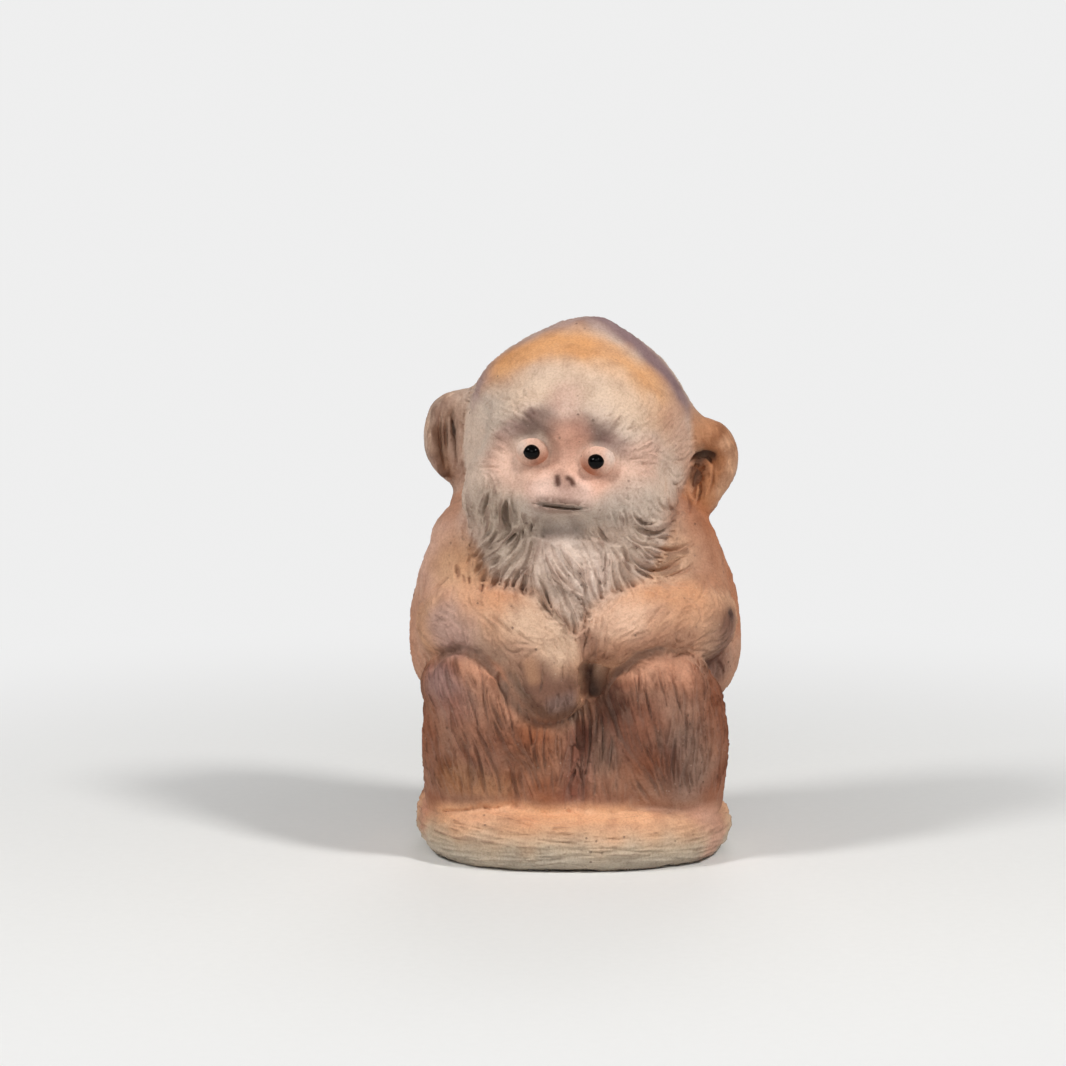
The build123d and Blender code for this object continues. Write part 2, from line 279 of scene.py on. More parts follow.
rise = math.radians(camera_rise)
view_back = np.array([0, -math.cos(rise), math.sin(rise)])
view_up = np.array([0, math.sin(rise), math.cos(rise)])
aim = np.array([0, 0, aim_height])
camera_place = aim + camera_distance * view_back

# How a sight line is followed to the clay: where it starts before the aim, in how many steps, how
# much of the free way a step takes, and the longest that it looks ahead
sight_start = 24.0
sight_steps = 260
sight_share = 0.8
sight_stride = 0.5


def add_camera():
    data = bpy.data.cameras.new("camera")
    camera = bpy.data.objects.new("camera", data)
    bpy.context.collection.objects.link(camera)
    camera.location = Vector(camera_place * MM)
    camera.rotation_euler = Euler((math.radians(90) - rise, 0, 0))
    picture_width = IMAGE_SIDE / pixels_per_mm
    data.sensor_fit = "HORIZONTAL"
    data.lens = data.sensor_width * camera_distance / picture_width
    data.shift_x = (IMAGE_SIDE / 2 - aim_pixel[0]) / IMAGE_SIDE
    data.shift_y = (aim_pixel[1] - IMAGE_SIDE / 2) / IMAGE_SIDE
    data.clip_start = 0.01
    data.clip_end = 10
    bpy.context.scene.camera = camera


def sight_lines(pixels):
    """The ways from the camera to some pixels of the picture, as far as the aim."""
    pixels = np.array(pixels, dtype=float).reshape(-1, 2)
    across = (pixels[:, 0] - aim_pixel[0]) / pixels_per_mm
    up = (aim_pixel[1] - pixels[:, 1]) / pixels_per_mm
    return aim + across[:, None] * side_way + up[:, None] * view_up - camera_place


def seen(whole, pixels):
    """The points of the clay that the camera sees at some pixels of the picture."""
    way = sight_lines(pixels)
    way = way / np.linalg.norm(way, axis=1, keepdims=True)
    point = camera_place + way * (camera_distance - sight_start)
    for _ in range(sight_steps):
        gap = read_at(whole, point)
        point = point + way * np.clip(gap, 0, sight_stride)[:, None] * sight_share
    return point


def at_depth(pixel, depth):
    """The place behind a pixel of the picture that lies at a depth, counted from front to back."""
    way = sight_lines([pixel])[0]
    return camera_place + way * (depth - camera_place[1]) / way[1]


def pixels_of(points):
    """The picture's pixels at which the camera sees some points."""
    gap = points - camera_place
    share = camera_distance / -(gap @ view_back)
    across = (gap @ side_way) * share
    up = (gap @ view_up) * share
    return aim_pixel[0] + pixels_per_mm * across, aim_pixel[1] - pixels_per_mm * up


def soft_step(low, high, value):
    """A value spread from 0 at low to 1 at high, eased at both ends."""
    share = np.clip((value - low) / (high - low), 0, 1)
    return share * share * (3 - 2 * share)


def on_shown_side(outward):
    """1 where the clay faces the camera, and 0 where it faces away."""
    return soft_step(-0.1, 0.2, outward @ view_back)


# The lumps of clay

SIDES = {"right": -1, "left": 1}

# The head's own frame, as the CAD model places it: its base, and its lean and turn in degrees
head_base = (-1.1, -1.8, 34.4)
head_lean = 7.5
head_turn = -7.5
head_frame = Matrix.Rotation(math.radians(head_lean), 3, "Y") @ Matrix.Rotation(
    math.radians(head_turn), 3, "Z"
)

# How far each lump's join is smoothed into what is there before it
JOIN_REACH = {
    "torso": 0.5,
    "right_upper_arm": 2.7,
    "left_upper_arm": 2.7,
    "right_forearm": 2.7,
    "left_forearm": 2.7,
    "left_hand": 0.8,
    "right_hand": 1.4,
    "right_thigh": 1.2,
    "left_thigh": 1.2,
    "right_shin": 0.6,
    "left_shin": 0.6,
    "floor": 0.3,
    "head": 1.6,
    "beard": 2.0,
    "right_ear": 1.6,
    "left_ear": 1.6,
    "tail": 0.5,
}


def in_head(x, y, z):
    """A place given in the head's own frame."""
    return np.array(head_frame @ Vector((x, y, z))) + head_base


def node_centre(name):
    low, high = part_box(name)
    return (np.array(low) + np.array(high)) / 2 / MM


def node_size(name):
    low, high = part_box(name)
    return (np.array(high) - np.array(low)) / MM


def shared(a, b):
    """The slices of two fields' boxes where they overlap."""
    first = np.maximum(a.corner, b.corner)
    last = np.minimum(a.corner + a.values.shape, b.corner + b.values.shape)
    return [tuple(slice(p, q) for p, q in zip(first - f.corner, last - f.corner)) for f in (a, b)]


def add_to(field, lump, soft):
    """A lump of clay added to one piece's own field, whose box grows to hold it."""
    first = np.minimum(field.corner, lump.corner)
    last = np.maximum(field.corner + field.values.shape, lump.corner + lump.values.shape)
    if np.any(first < field.corner) or np.any(last > field.corner + field.values.shape):
        grown = np.full(tuple(last - first), band, dtype=np.float32)
        place = tuple(slice(a, a + n) for a, n in zip(field.corner - first, field.values.shape))
        grown[place] = field.values
        field.corner, field.values = first, grown
    cut_field, cut_lump = shared(field, lump)
    field.values[cut_field] = merged(field.values[cut_field], lump.values[cut_lump], soft)


# The head's lumps in its own frame, thumbed together into one round face with brow and muzzle: the
# place of each, its three radii and how far it is blended
HEAD_LUMPS = (
    ((0, 0, 14.5), (8.8, 7.6, 7.6), 0.5),
    ((0, -7.4, 7.4), (8.6, 4.4, 5.6), 1.0),
    ((0, -7.6, 12.6), (8.8, 3.4, 5.0), 1.0),
)
head_smoothing = 0.45

# The clay that closes the torso, which the CAD model leaves hollow, as a share of its size, and the
# nape that runs up behind the head
torso_fill_share = 0.42
nape_places = ((-1, 0, 24), (-0.5, 0, 40))
nape_radii = (8.0, 6.0)
torso_soft = 0.5


def shape_head(field):
    for place, radii, soft in HEAD_LUMPS:
        add_to(field, ball(in_head(*place), radii, head_frame), soft)
    field.values = smoothed(field.values, head_smoothing)


def shape_torso(field):
    fill_radii = tuple(torso_fill_share * node_size("torso"))
    add_to(field, ball(node_centre("torso"), fill_radii), torso_soft)
    add_to(field, roll(nape_places, nape_radii), torso_soft)


# Clay pressed on where the picture shows it: the piece it belongs to, how far it is blended,
# and for each of its places the pixel, the depth of its front and its radius
HEAPS = (
    # the chest, level with the beard on both sides
    ("torso", 2.5, ((472, 538, -7.6, 3.8), (478, 565, -8.8, 4.2), (482, 596, -9.0, 4.0))),
    ("torso", 2.5, ((456, 574, -6.6, 3.2), (458, 592, -7.4, 3.2))),
    ("torso", 2.5, ((660, 530, -7.4, 3.8), (660, 560, -8.8, 4.2), (652, 592, -9.6, 4.0))),
    ("torso", 2.5, ((684, 556, -6.2, 3.4), (690, 585, -7.2, 3.4))),
    # the cheeks' fringes, running on to the chest
    ("beard", 2.0, ((486, 505, -11.0, 2.6), (492, 530, -10.8, 2.8), (506, 560, -11.0, 3.0))),
    ("beard", 2.0, ((652, 505, -11.2, 2.6), (646, 530, -11.0, 2.8), (628, 562, -11.6, 3.0))),
    # the beard's thick middle and its tip over the forearms
    ("beard", 1.6, ((560, 560, -13.0, 3.4), (572, 590, -13.6, 3.0), (570, 614, -13.9, 2.0))),
    # the crown's blunt point
    ("head", 1.8, ((590, 343, -4.4, 2.3), (597, 341, -3.0, 1.9))),
    # the brow
    ("head", 2.4, ((508, 432, -11.8, 1.8), (530, 418, -13.1, 2.0), (556, 424, -13.9, 1.8))),
    ("head", 1.6, ((578, 428, -14.0, 1.8), (606, 426, -13.6, 2.0), (640, 446, -12.2, 1.8))),
    # the forearms' ends and the hands, run together into one mass
    ("right_forearm", 2.7, ((458, 624, -11.4, 3.6), (510, 626, -13.5, 4.0), (545, 640, -13.8, 3.6))),
    ("left_forearm", 2.7, ((696, 618, -10.6, 4.0), (650, 620, -13.3, 4.0), (612, 632, -13.6, 4.0),
                           (597, 650, -12.6, 2.6))),
    ("right_hand", 2.7, ((546, 642, -13.9, 3.8), (542, 670, -14.2, 3.8), (548, 686, -14.1, 3.0))),
    ("right_hand", 1.8, ((566, 650, -13.2, 1.9), (567, 696, -13.4, 1.6), (548, 700, -13.7, 1.7))),
    # the knees
    ("right_shin", 2.4, ((476, 698, -13.4, 4.8), (480, 712, -13.6, 4.8))),
    ("right_shin", 1.4, ((450, 682, -12.4, 3.2), (466, 677, -13.7, 3.4), (484, 689, -14.2, 3.4))),
    ("left_shin", 2.4, ((655, 706, -13.6, 4.8), (655, 716, -13.6, 4.8))),
    ("left_shin", 1.4, ((634, 686, -13.8, 3.4), (655, 677, -14.1, 3.4), (682, 679, -13.4, 3.2))),
    ("right_shin", 1.4, ((496, 700, -14.2, 2.4), (510, 720, -14.4, 2.5), (526, 740, -14.0, 2.6))),
    # the legs' inner sides, which meet
    ("right_shin", 1.8, ((545, 730, -13.2, 3.0), (555, 760, -13.0, 3.2), (558, 796, -12.4, 3.2))),
    ("left_shin", 1.8, ((604, 705, -11.8, 2.6), (604, 750, -12.2, 2.8), (606, 796, -12.2, 3.0))),
    ("left_shin", 1.2, ((582, 722, -10.8, 1.6), (581, 760, -11.6, 1.8), (580, 800, -12.0, 1.8))),
    # the ears' rims, running into the head at the top
    ("left_ear", 1.0, ((684, 421, -4.4, 1.4), (700, 430, -4.6, 1.4), (713, 437, -4.6, 1.3),
                       (723, 450, -4.4, 1.1), (721, 474, -4.2, 1.1), (706, 500, -4.4, 1.4))),
    ("left_ear", 0.5, ((704, 464, -4.2, 0.6), (711, 478, -4.0, 0.7), (704, 492, -4.4, 0.8))),
    ("right_ear", 1.0, ((464, 400, -1.0, 1.3), (450, 404, -0.4, 1.0), (441, 413, -0.2, 0.8),
                        (438, 430, -0.2, 0.7), (440, 452, -0.2, 0.7), (446, 470, -0.6, 0.8))),
    ("right_ear", 0.4, ((451, 416, 0.2, 0.5), (452, 440, 0.2, 0.5), (455, 466, -0.6, 0.5))),
    ("right_ear", 0.4, ((460, 412, -0.6, 0.5), (461, 438, -0.4, 0.5), (461, 464, -0.8, 0.5))),
)


# Clay cut off a piece with a wire, in the same way
CUTS = (
    ("right_hand", 0.5, ((468, 680, -16.5, 2.0), (480, 700, -16.5, 2.0), (495, 719, -16.5, 2.0),
                         (513, 736, -16.5, 2.0), (538, 746, -16.5, 2.1), (556, 746, -16.5, 2.1),
                         (584, 737, -16.5, 2.0))),
    ("right_hand", 0.5, ((452, 700, -17.5, 2.8), (470, 726, -17.5, 2.8), (490, 746, -17.5, 2.8),
                         (512, 762, -17.5, 2.8), (540, 772, -17.5, 2.8), (592, 762, -17.5, 2.8))),
)


def laid_through(places):
    """A roll of clay whose front passes some pixels of the picture, each at its depth."""
    centres = [at_depth((u, v), front + radius) for u, v, front, radius in places]
    return roll(centres, [place[3] for place in places])


def heap_up(own):
    """The heaps added to their pieces, and the cuts made in them."""
    for name, soft, places in HEAPS:
        add_to(own[name], laid_through(places), soft)
    for name, soft, places in CUTS:
        cut = laid_through(places)
        cut_field, cut_lump = shared(own[name], cut)
        values = own[name].values
        values[cut_field] = -merged(-values[cut_field], cut.values[cut_lump], soft)


def make_clay():
    """Each piece's own field, and the whole figure's with its joins smoothed."""
    own = {name: node_field(name) for name in JOIN_REACH}
    shape_torso(own["torso"])
    shape_head(own["head"])
    heap_up(own)
    whole = np.full(lattice_shape, band, dtype=np.float32)
    for name, field in own.items():
        press_on(whole, field, JOIN_REACH[name])
    return own, whole


# Cutting the pieces free

def nearest_piece(own):
    """For each point of the lattice, how far the nearest piece is, and which one it is."""
    least = np.full(lattice_shape, band, dtype=np.float32)
    label = np.zeros(lattice_shape, dtype=np.int8)
    for number, field in enumerate(own.values()):
        window = field.window()
        closer = field.values < least[window]
        least[window][closer] = field.values[closer]
        label[window][closer] = number
    return least, label


def mesh_object(name, points, faces):
    """A mesh object from points in millimetres and faces of four corners."""
    mesh = bpy.data.meshes.new(name)
    count = len(faces)
    mesh.vertices.add(len(points))
    mesh.vertices.foreach_set("co", (points * MM).astype(np.float32).ravel())
    mesh.loops.add(4 * count)
    mesh.loops.foreach_set("vertex_index", faces.astype(np.int32).ravel())
    mesh.polygons.add(count)
    mesh.polygons.foreach_set("loop_start", np.arange(count, dtype=np.int32) * 4)
    mesh.update(calc_edges=True)
    mesh.validate()
    mesh.polygons.foreach_set("use_smooth", np.ones(len(mesh.polygons), dtype=bool))
    piece = bpy.data.objects.new(name, mesh)
    bpy.context.collection.objects.link(piece)
    return piece


def cut_free(name, field, whole, least):
    """One piece's closed skin: the whole figure's surface near it, diving in under its neighbours."""
    window = field.window()
    beyond = field.values - least[window]
    step = np.clip(beyond / spacing, 0, 1) * underlap_depth
    values = whole[window] + step + dive * np.clip(beyond - underlap, 0, None)
    values = np.pad(values, 1, constant_values=band)
    grid = openvdb.FloatGrid(band)
    grid.transform = LATTICE
    grid.copyFromArray(values, ijk=tuple(int(i) for i in field.corner - 1))
    points, faces = grid.convertToQuads(isovalue=0.0)
    return mesh_object(name, points, faces)


# Scratching with a needle tool

# A groove's lips: how far they reach, in widths, and how high they stand, in depths
lip_reach_share = 2.0
lip_height_share = 0.25

# How far a mark reaches into the clay, in depths, and out of it, in steps of the lattice; how round
# its floor is; and the depth below which it is left out. A stamp is a ball of lattice points, and the
# slack keeps the ones just past its reach
mark_reach_share = 1.3
mark_reach_out = 2.5
floor_roundness = 1.4
least_depth = 0.012
corner_slack = 0.9


class Scratches:
    """Needle marks in the clay: for each, its place, the way out of the clay, its width and depth."""

    def __init__(self):
        self.marks = []

    def add(self, points, outward, widths, depths):
        self.marks.append((points, outward, widths, depths))

    def carve(self, whole):
        """Cuts the marks into the whole figure, throws up their lips, and says how deep each place is."""
        points, outward, widths, depths = (np.concatenate(part) for part in zip(*self.marks))
        groove = np.zeros(lattice_shape, dtype=np.float32)
        lips = np.zeros(lattice_shape, dtype=np.float32)
        reach = np.maximum(lip_reach_share * widths, mark_reach_share * depths + spacing)
        reach = np.ceil(reach / spacing).astype(int)
        for size in np.unique(reach):
            pick = (reach == size) & (depths > least_depth)
            if pick.any():
                stamp(groove, lips, int(size), points[pick], outward[pick], widths[pick], depths[pick])
        whole += groove - lip_height_share * lips
        return groove


def stamp(groove, lips, reach, points, outward, widths, depths):
    """Round dents and their raised lips, written where they are the deepest so far."""
    place = points / spacing - low_corner
    nearest = np.rint(place).astype(int)
    inside = np.all((nearest > reach) & (nearest < np.array(lattice_shape) - reach - 1), axis=1)
    place, nearest, outward = place[inside], nearest[inside], outward[inside]
    widths, depths = widths[inside] / spacing, depths[inside]
    floors = -(mark_reach_share * depths / spacing + 1)
    strides = np.array([lattice_shape[1] * lattice_shape[2], lattice_shape[2], 1])
    base = nearest @ strides
    drift = nearest - place
    groove, lips = groove.reshape(-1), lips.reshape(-1)
    steps = range(-reach, reach + 1)
    for i in steps:
        for j in steps:
            for k in steps:
                if i * i + j * j + k * k > (reach + corner_slack) ** 2:
                    continue
                offset = drift + (i, j, k)
                along = np.sum(offset * outward, axis=1)
                side = np.sum(offset * offset, axis=1) - along * along
                wide = 1 - side / (lip_reach_share * widths) ** 2
                hit = (wide > 0) & (along < mark_reach_out) & (along > floors)
                if not hit.any():
                    continue
                index = base[hit] + i * strides[0] + j * strides[1] + k
                np.maximum.at(lips, index, (depths[hit] * wide[hit] ** 2).astype(np.float32))
                share = np.clip(1 - side[hit] / widths[hit] ** 2, 0, 1)
                np.maximum.at(groove, index, (depths[hit] * share**floor_roundness).astype(np.float32))


# The key of a cell is its three indices as the digits of one number
cell_places = (1, 4096, 4096**2)


def numbers_of(pieces):
    """The numbers that stand for some pieces on the lattice."""
    return [list(JOIN_REACH).index(name) for name in pieces]


class Skin:
    """The clay's surface as scattered points, with the piece that each lies on."""

    seed = 1

    def __init__(self, whole, label):
        near = np.argwhere(np.abs(whole) < 0.5 * spacing)
        near = near[np.random.default_rng(self.seed).permutation(len(near))]
        self.points = (near + low_corner) * spacing
        self.whole_label = label
        self.label = label[near[:, 0], near[:, 1], near[:, 2]]

    def holds(self, pieces, points):
        """Whether points lie on some pieces."""
        place = np.rint(points / spacing - low_corner).astype(int)
        place = np.clip(place, 0, np.array(lattice_shape) - 1)
        return np.isin(self.whole_label[place[:, 0], place[:, 1], place[:, 2]], numbers_of(pieces))

    def spread(self, pieces, gap, seed):
        """Points of some pieces, about gap apart."""
        points = self.points[np.isin(self.label, numbers_of(pieces))]
        cells = np.floor(points / gap + np.random.default_rng(seed).uniform(0, 1, 3)).astype(np.int64)
        _, first = np.unique(cells @ cell_places, return_index=True)
        return points[np.sort(first)]


def settled(whole, points):
    """Points brought on to the surface, in three steps that each come closer."""
    for _ in range(3):
        points = points - outward_at(whole, points) * read_at(whole, points)[:, None]
    return points


def along_surface(way, outward):
    way = way - outward * np.sum(way * outward, axis=1, keepdims=True)
    return way / (np.linalg.norm(way, axis=1, keepdims=True) + tiny)


# How unlike each other the strokes of one comb are, as shares of the length, width and depth given
LENGTH_SHARES = (0.55, 1.3)
WIDTH_SHARES = (0.75, 1.25)
DEPTH_SHARES = (0.5, 1.25)

# A stroke's step in spacings of the lattice, its width at the tips as a share, and how far it may be
# brought back to the surface at each step
stroke_step = 1.1
tip_width_share = 0.45
most_return = 0.4


def comb(scratches, whole, skin, pieces, lie, gap, length, width, depth, seed, sway, fade):
    """Hair on some pieces: needle strokes the way the hair lies there, tapered at both ends."""
    starts = skin.spread(pieces, gap, seed)
    random = np.random.default_rng(seed)
    step = stroke_step * spacing
    points = settled(whole, starts)
    outward = outward_at(whole, points)
    lengths = length * random.uniform(*LENGTH_SHARES, len(points))
    widths = width * random.uniform(*WIDTH_SHARES, len(points))
    depths = depth * random.uniform(*DEPTH_SHARES, len(points))
    turn = random.normal(0, sway, len(points))
    bend = random.normal(0, sway / 2, len(points))
    gone = 0.0
    while gone < length * LENGTH_SHARES[1] and len(points):
        share = np.clip(gone / lengths, 0, 1)
        taper = np.sin(np.pi * share**0.8) ** 0.6
        shown = taper if fade is None else taper * fade(points, outward)
        thick = tip_width_share + (1 - tip_width_share) * taper
        scratches.add(points, outward, widths * thick, depths * shown)
        way = along_surface(lie(points, outward), outward)
        aside = np.cross(outward, way)
        angle = (turn + bend * np.sin(3 * share + turn * 9))[:, None]
        points = points + step * (way * np.cos(angle) + aside * np.sin(angle))
        outward = outward_at(whole, points)
        back = np.clip(read_at(whole, points), -most_return, most_return)
        points = points - outward * back[:, None]
        gone += step
        keep = (lengths > gone) & skin.holds(pieces, points)
        points, outward, turn, bend = points[keep], outward[keep], turn[keep], bend[keep]
        lengths, widths, depths = lengths[keep], widths[keep], depths[keep]


def draw(scratches, whole, pixels, width, depth):
    """One needle mark drawn through some pixels of the picture, tapered at both ends."""
    pixels = np.array(pixels, dtype=float)
    count = int(np.sum(np.hypot(*np.diff(pixels, axis=0).T)) / (pixels_per_mm * spacing)) + 2
    share = np.linspace(0, 1, count)
    for _ in range(2 if len(pixels) > 2 else 0):
        middle = (pixels[:-2] + 6 * pixels[1:-1] + pixels[2:]) / 8
        halves = (pixels[:-1] + pixels[1:]) / 2
        rounded = np.empty((2 * len(pixels) - 1, 2))
        rounded[0], rounded[-1] = pixels[0], pixels[-1]
        rounded[1::2] = halves
        rounded[2:-1:2] = middle
        pixels = rounded
    ticks = np.linspace(0, 1, len(pixels))
    line = np.stack([np.interp(share, ticks, pixels[:, 0]), np.interp(share, ticks, pixels[:, 1])], 1)
    points = seen(whole, line)
    taper = np.sin(np.pi * np.clip(share, 0.02, 0.98)) ** 0.5
    outward = outward_at(whole, points)
    scratches.add(points, outward, width * (0.5 + 0.5 * taper), depth * taper)


# How the hair lies on each piece

# Where it starts: the middle of the face in the head's own frame, and the chin
face_middle = (0, -13, 10.5)
chin = (-0.6, -6, 41)


def head_place(points):
    """Points in the head's own frame."""
    return (points - head_base) @ np.array(head_frame)


def from_face(points, outward):
    """On the head: away from the middle of the face, up over the crown and down the back and cheeks."""
    place = head_place(points)
    way = place - face_middle
    way = way / np.linalg.norm(way, axis=1, keepdims=True)
    behind = soft_step(-1, 6, place[:, 1])[:, None]
    low = soft_step(11, 4, place[:, 2])[:, None]
    return way + down_way * (1.6 * behind + 1.2 * low)


def down(points, outward):
    """On the torso, the arms and the hands: down, and a little outwards."""
    return np.tile(down_way, (len(points), 1)) + 0.12 * np.sign(points[:, :1]) * side_way


def to_beard_tip(points, outward):
    """On the beard: fanned out from the chin, and swept over to the tip in waves."""
    way = points - chin
    way = way / np.linalg.norm(way, axis=1, keepdims=True)
    swing = 0.7 * np.sin(points[:, 2] * 0.62 + 0.25 * points[:, 0])
    return way + down_way * 0.5 + swing[:, None] * side_way


def to_hand(points, outward):
    """On the forearms: from the elbows to the hands."""
    side = np.sign(points[:, :1])
    return -side * side_way + (0, -0.6, -0.25)


def out_of_lap(points, outward):
    """On the legs: combed down, and in front a little towards the left leg's side."""
    side = np.sign(points[:, 0])
    lean = 0.2 + 0.14 * np.sin(0.5 * points[:, 0] + 0.4 * points[:, 2])
    lean = np.where(points[:, 1] < 0, lean, 0.2 * side)
    return down_way + lean[:, None] * side_way - 0.15 * back_way


def along_tail(points, outward):
    """On the tail: round the foot."""
    return np.cross(points * (1, 1, 0), (0, 0, 1))


def along_ear(points, outward):
    """On the ears: down and back."""
    return down_way + back_way * 0.35 + 0 * points


# How far a listed mark bends the hair beside it, in millimetres, and how strongly
mark_pull_reach = 1.7
mark_pull = 2.5


def beside_marks(whole):
    """A turn for hair that lies beside the listed marks: it bends to run along them."""
    lines = [np.array(pixels, dtype=float) for _, _, pixels in MARKS]
    starts = np.concatenate([line[:-1] for line in lines])
    ends = np.concatenate([line[1:] for line in lines])
    middles = seen(whole, (starts + ends) / 2)
    ways = seen(whole, ends) - seen(whole, starts)
    ways = ways / (np.linalg.norm(ways, axis=1, keepdims=True) + tiny)

    def follow(lie):
        def turned(points, outward):
            far = np.sum((points[:, None] - middles) ** 2, axis=2)
            pull = np.exp(-far / mark_pull_reach**2) @ ways
            way = lie(points, outward)
            way = way / (np.linalg.norm(way, axis=1, keepdims=True) + tiny)
            return way + mark_pull * pull

        return turned

    return follow


# Where less of the hair shows

# The bare face: the pixel of its middle and its radii in pixels, and where its edge starts and ends
face_pixel = (566, 470)
face_radii = (64, 54)
FACE_EDGE = (1.25, 0.8)

# The heights in the head over which its crown turns faint and how much hair it loses there, the way
# from the chest to the back and the share that the chest keeps, and the heights at the tail's edge
CROWN_HEIGHTS = (15, 19)
crown_loss = 0.8
CHEST_TO_BACK = (-5, 4)
chest_share = 0.25
TAIL_EDGE = (6.2, 9.5)


def on_head(points, outward):
    """Not on the face, and faint on the crown's front."""
    across, down_by = pixels_of(points)
    far = np.hypot((across - face_pixel[0]) / face_radii[0], (down_by - face_pixel[1]) / face_radii[1])
    shown = on_shown_side(outward)
    off_face = 1 - soft_step(*FACE_EDGE, far) * shown
    crown = soft_step(*CROWN_HEIGHTS, head_place(points)[:, 2])
    return off_face * (1 - crown_loss * crown * shown)


def on_back(points, outward):
    return chest_share + (1 - chest_share) * soft_step(*CHEST_TO_BACK, points[:, 1])


def above_tail(points, outward):
    return soft_step(*TAIL_EDGE, points[:, 2])


UPPER_ARMS = ("right_upper_arm", "left_upper_arm")
FOREARMS = ("right_forearm", "left_forearm")
HANDS = ("right_hand", "left_hand")
SHINS = ("right_shin", "left_shin")
THIGHS = ("right_thigh", "left_thigh")
EARS = ("right_ear", "left_ear")

# The hair, coarse strokes before fine ones: its pieces, the way it lies and whether that bends to run
# along the listed marks; the gap between strokes, their length, width and depth, the seed of
# their random draws and how far they stray; and where less of them shows
HAIR = (
    (("head",), from_face, True, 1.0, 2.8, 0.22, 0.36, 11, 0.2, on_head),
    (("head",), from_face, True, 0.6, 1.5, 0.16, 0.16, 12, 0.3, on_head),
    (("beard",), to_beard_tip, True, 1.4, 6.5, 0.38, 0.75, 21, 0.08, None),
    (("beard",), to_beard_tip, True, 0.8, 3.6, 0.2, 0.26, 22, 0.12, None),
    (("torso",), down, True, 1.4, 5.5, 0.27, 0.6, 31, 0.22, on_back),
    (("torso",), down, True, 0.8, 2.4, 0.18, 0.2, 32, 0.3, None),
    (UPPER_ARMS, down, False, 1.7, 3.8, 0.32, 0.34, 40, 0.35, None),
    (UPPER_ARMS, down, False, 1.0, 2.6, 0.19, 0.2, 41, 0.3, None),
    (FOREARMS, to_hand, True, 1.4, 3.8, 0.28, 0.38, 51, 0.28, None),
    (FOREARMS, to_hand, True, 0.8, 2.0, 0.18, 0.24, 52, 0.4, None),
    (HANDS, down, True, 0.9, 2.2, 0.2, 0.3, 55, 0.2, None),
    (SHINS, out_of_lap, True, 1.55, 7.0, 0.33, 0.75, 61, 0.12, above_tail),
    (SHINS, out_of_lap, True, 0.8, 3.6, 0.18, 0.28, 62, 0.15, above_tail),
    (THIGHS, out_of_lap, False, 1.4, 6.0, 0.26, 0.55, 65, 0.12, above_tail),
    (THIGHS, out_of_lap, False, 0.8, 3.0, 0.18, 0.25, 66, 0.15, above_tail),
    (("tail",), along_tail, False, 1.3, 9.0, 0.26, 0.4, 71, 0.08, None),
    (("tail",), along_tail, False, 0.8, 2.0, 0.17, 0.18, 72, 0.2, None),
    (EARS, along_ear, False, 1.0, 2.0, 0.18, 0.16, 81, 0.25, None),
    (tuple(JOIN_REACH), down, False, 1.1, 0.2, 0.17, 0.14, 91, 1.0, None),
)


def scratch_hair(scratches, whole, skin):
    follow = beside_marks(whole)
    for pieces, lie, beside, *settings in HAIR:
        comb(scratches, whole, skin, pieces, follow(lie) if beside else lie, *settings)


# Locks and fingers modelled up: how far they stand out, their radius and the pixels they pass
LOCKS = (
    (0.25, 0.6, ((560, 548), (570, 560), (580, 572), (588, 586))),
    (0.3, 0.6, ((548, 560), (552, 572), (560, 584), (572, 593), (582, 602), (587, 614))),
    (0.3, 0.55, ((533, 575), (538, 588), (546, 602), (556, 614), (566, 622))),
    (0.22, 0.45, ((524, 516), (524, 530), (525, 545))),
    (0.25, 0.55, ((514, 492), (511, 506), (514, 517))),
    (0.22, 0.45, ((498, 493), (499, 510), (500, 528))),
    (0.22, 0.45, ((487, 500), (487, 515), (488, 530))),
    (0.22, 0.45, ((534, 520), (534, 532), (538, 546))),
    (0.22, 0.5, ((545, 545), (536, 556), (528, 566), (519, 574))),
    (0.22, 0.5, ((519, 529), (507, 540), (492, 549), (482, 558))),
    (0.22, 0.5, ((600, 545), (604, 560), (603, 580))),
    (0.2, 0.5, ((641, 520), (652, 529), (668, 526), (682, 513))),
    (0.2, 0.5, ((630, 541), (645, 553), (664, 557), (684, 550))),
    (0.2, 0.5, ((626, 560), (640, 571), (658, 575), (676, 568))),
    (0.3, 0.9, ((524, 668), (530, 685), (537, 702))),
    (0.25, 0.9, ((550, 662), (553, 685), (551, 706))),
    (0.25, 0.8, ((566, 662), (568, 685), (566, 702))),
    (0.3, 0.5, ((566, 724), (574, 745), (576, 775))),
    (0.3, 0.5, ((588, 722), (586, 750), (582, 780))),
)

# Needle marks drawn where the picture shows them: how wide and how deep they look there, and
# the pixels they pass. The lips that they throw up widen them, so the needle itself is narrower
needle_width_share = 0.85
needle_depth_share = 1.5

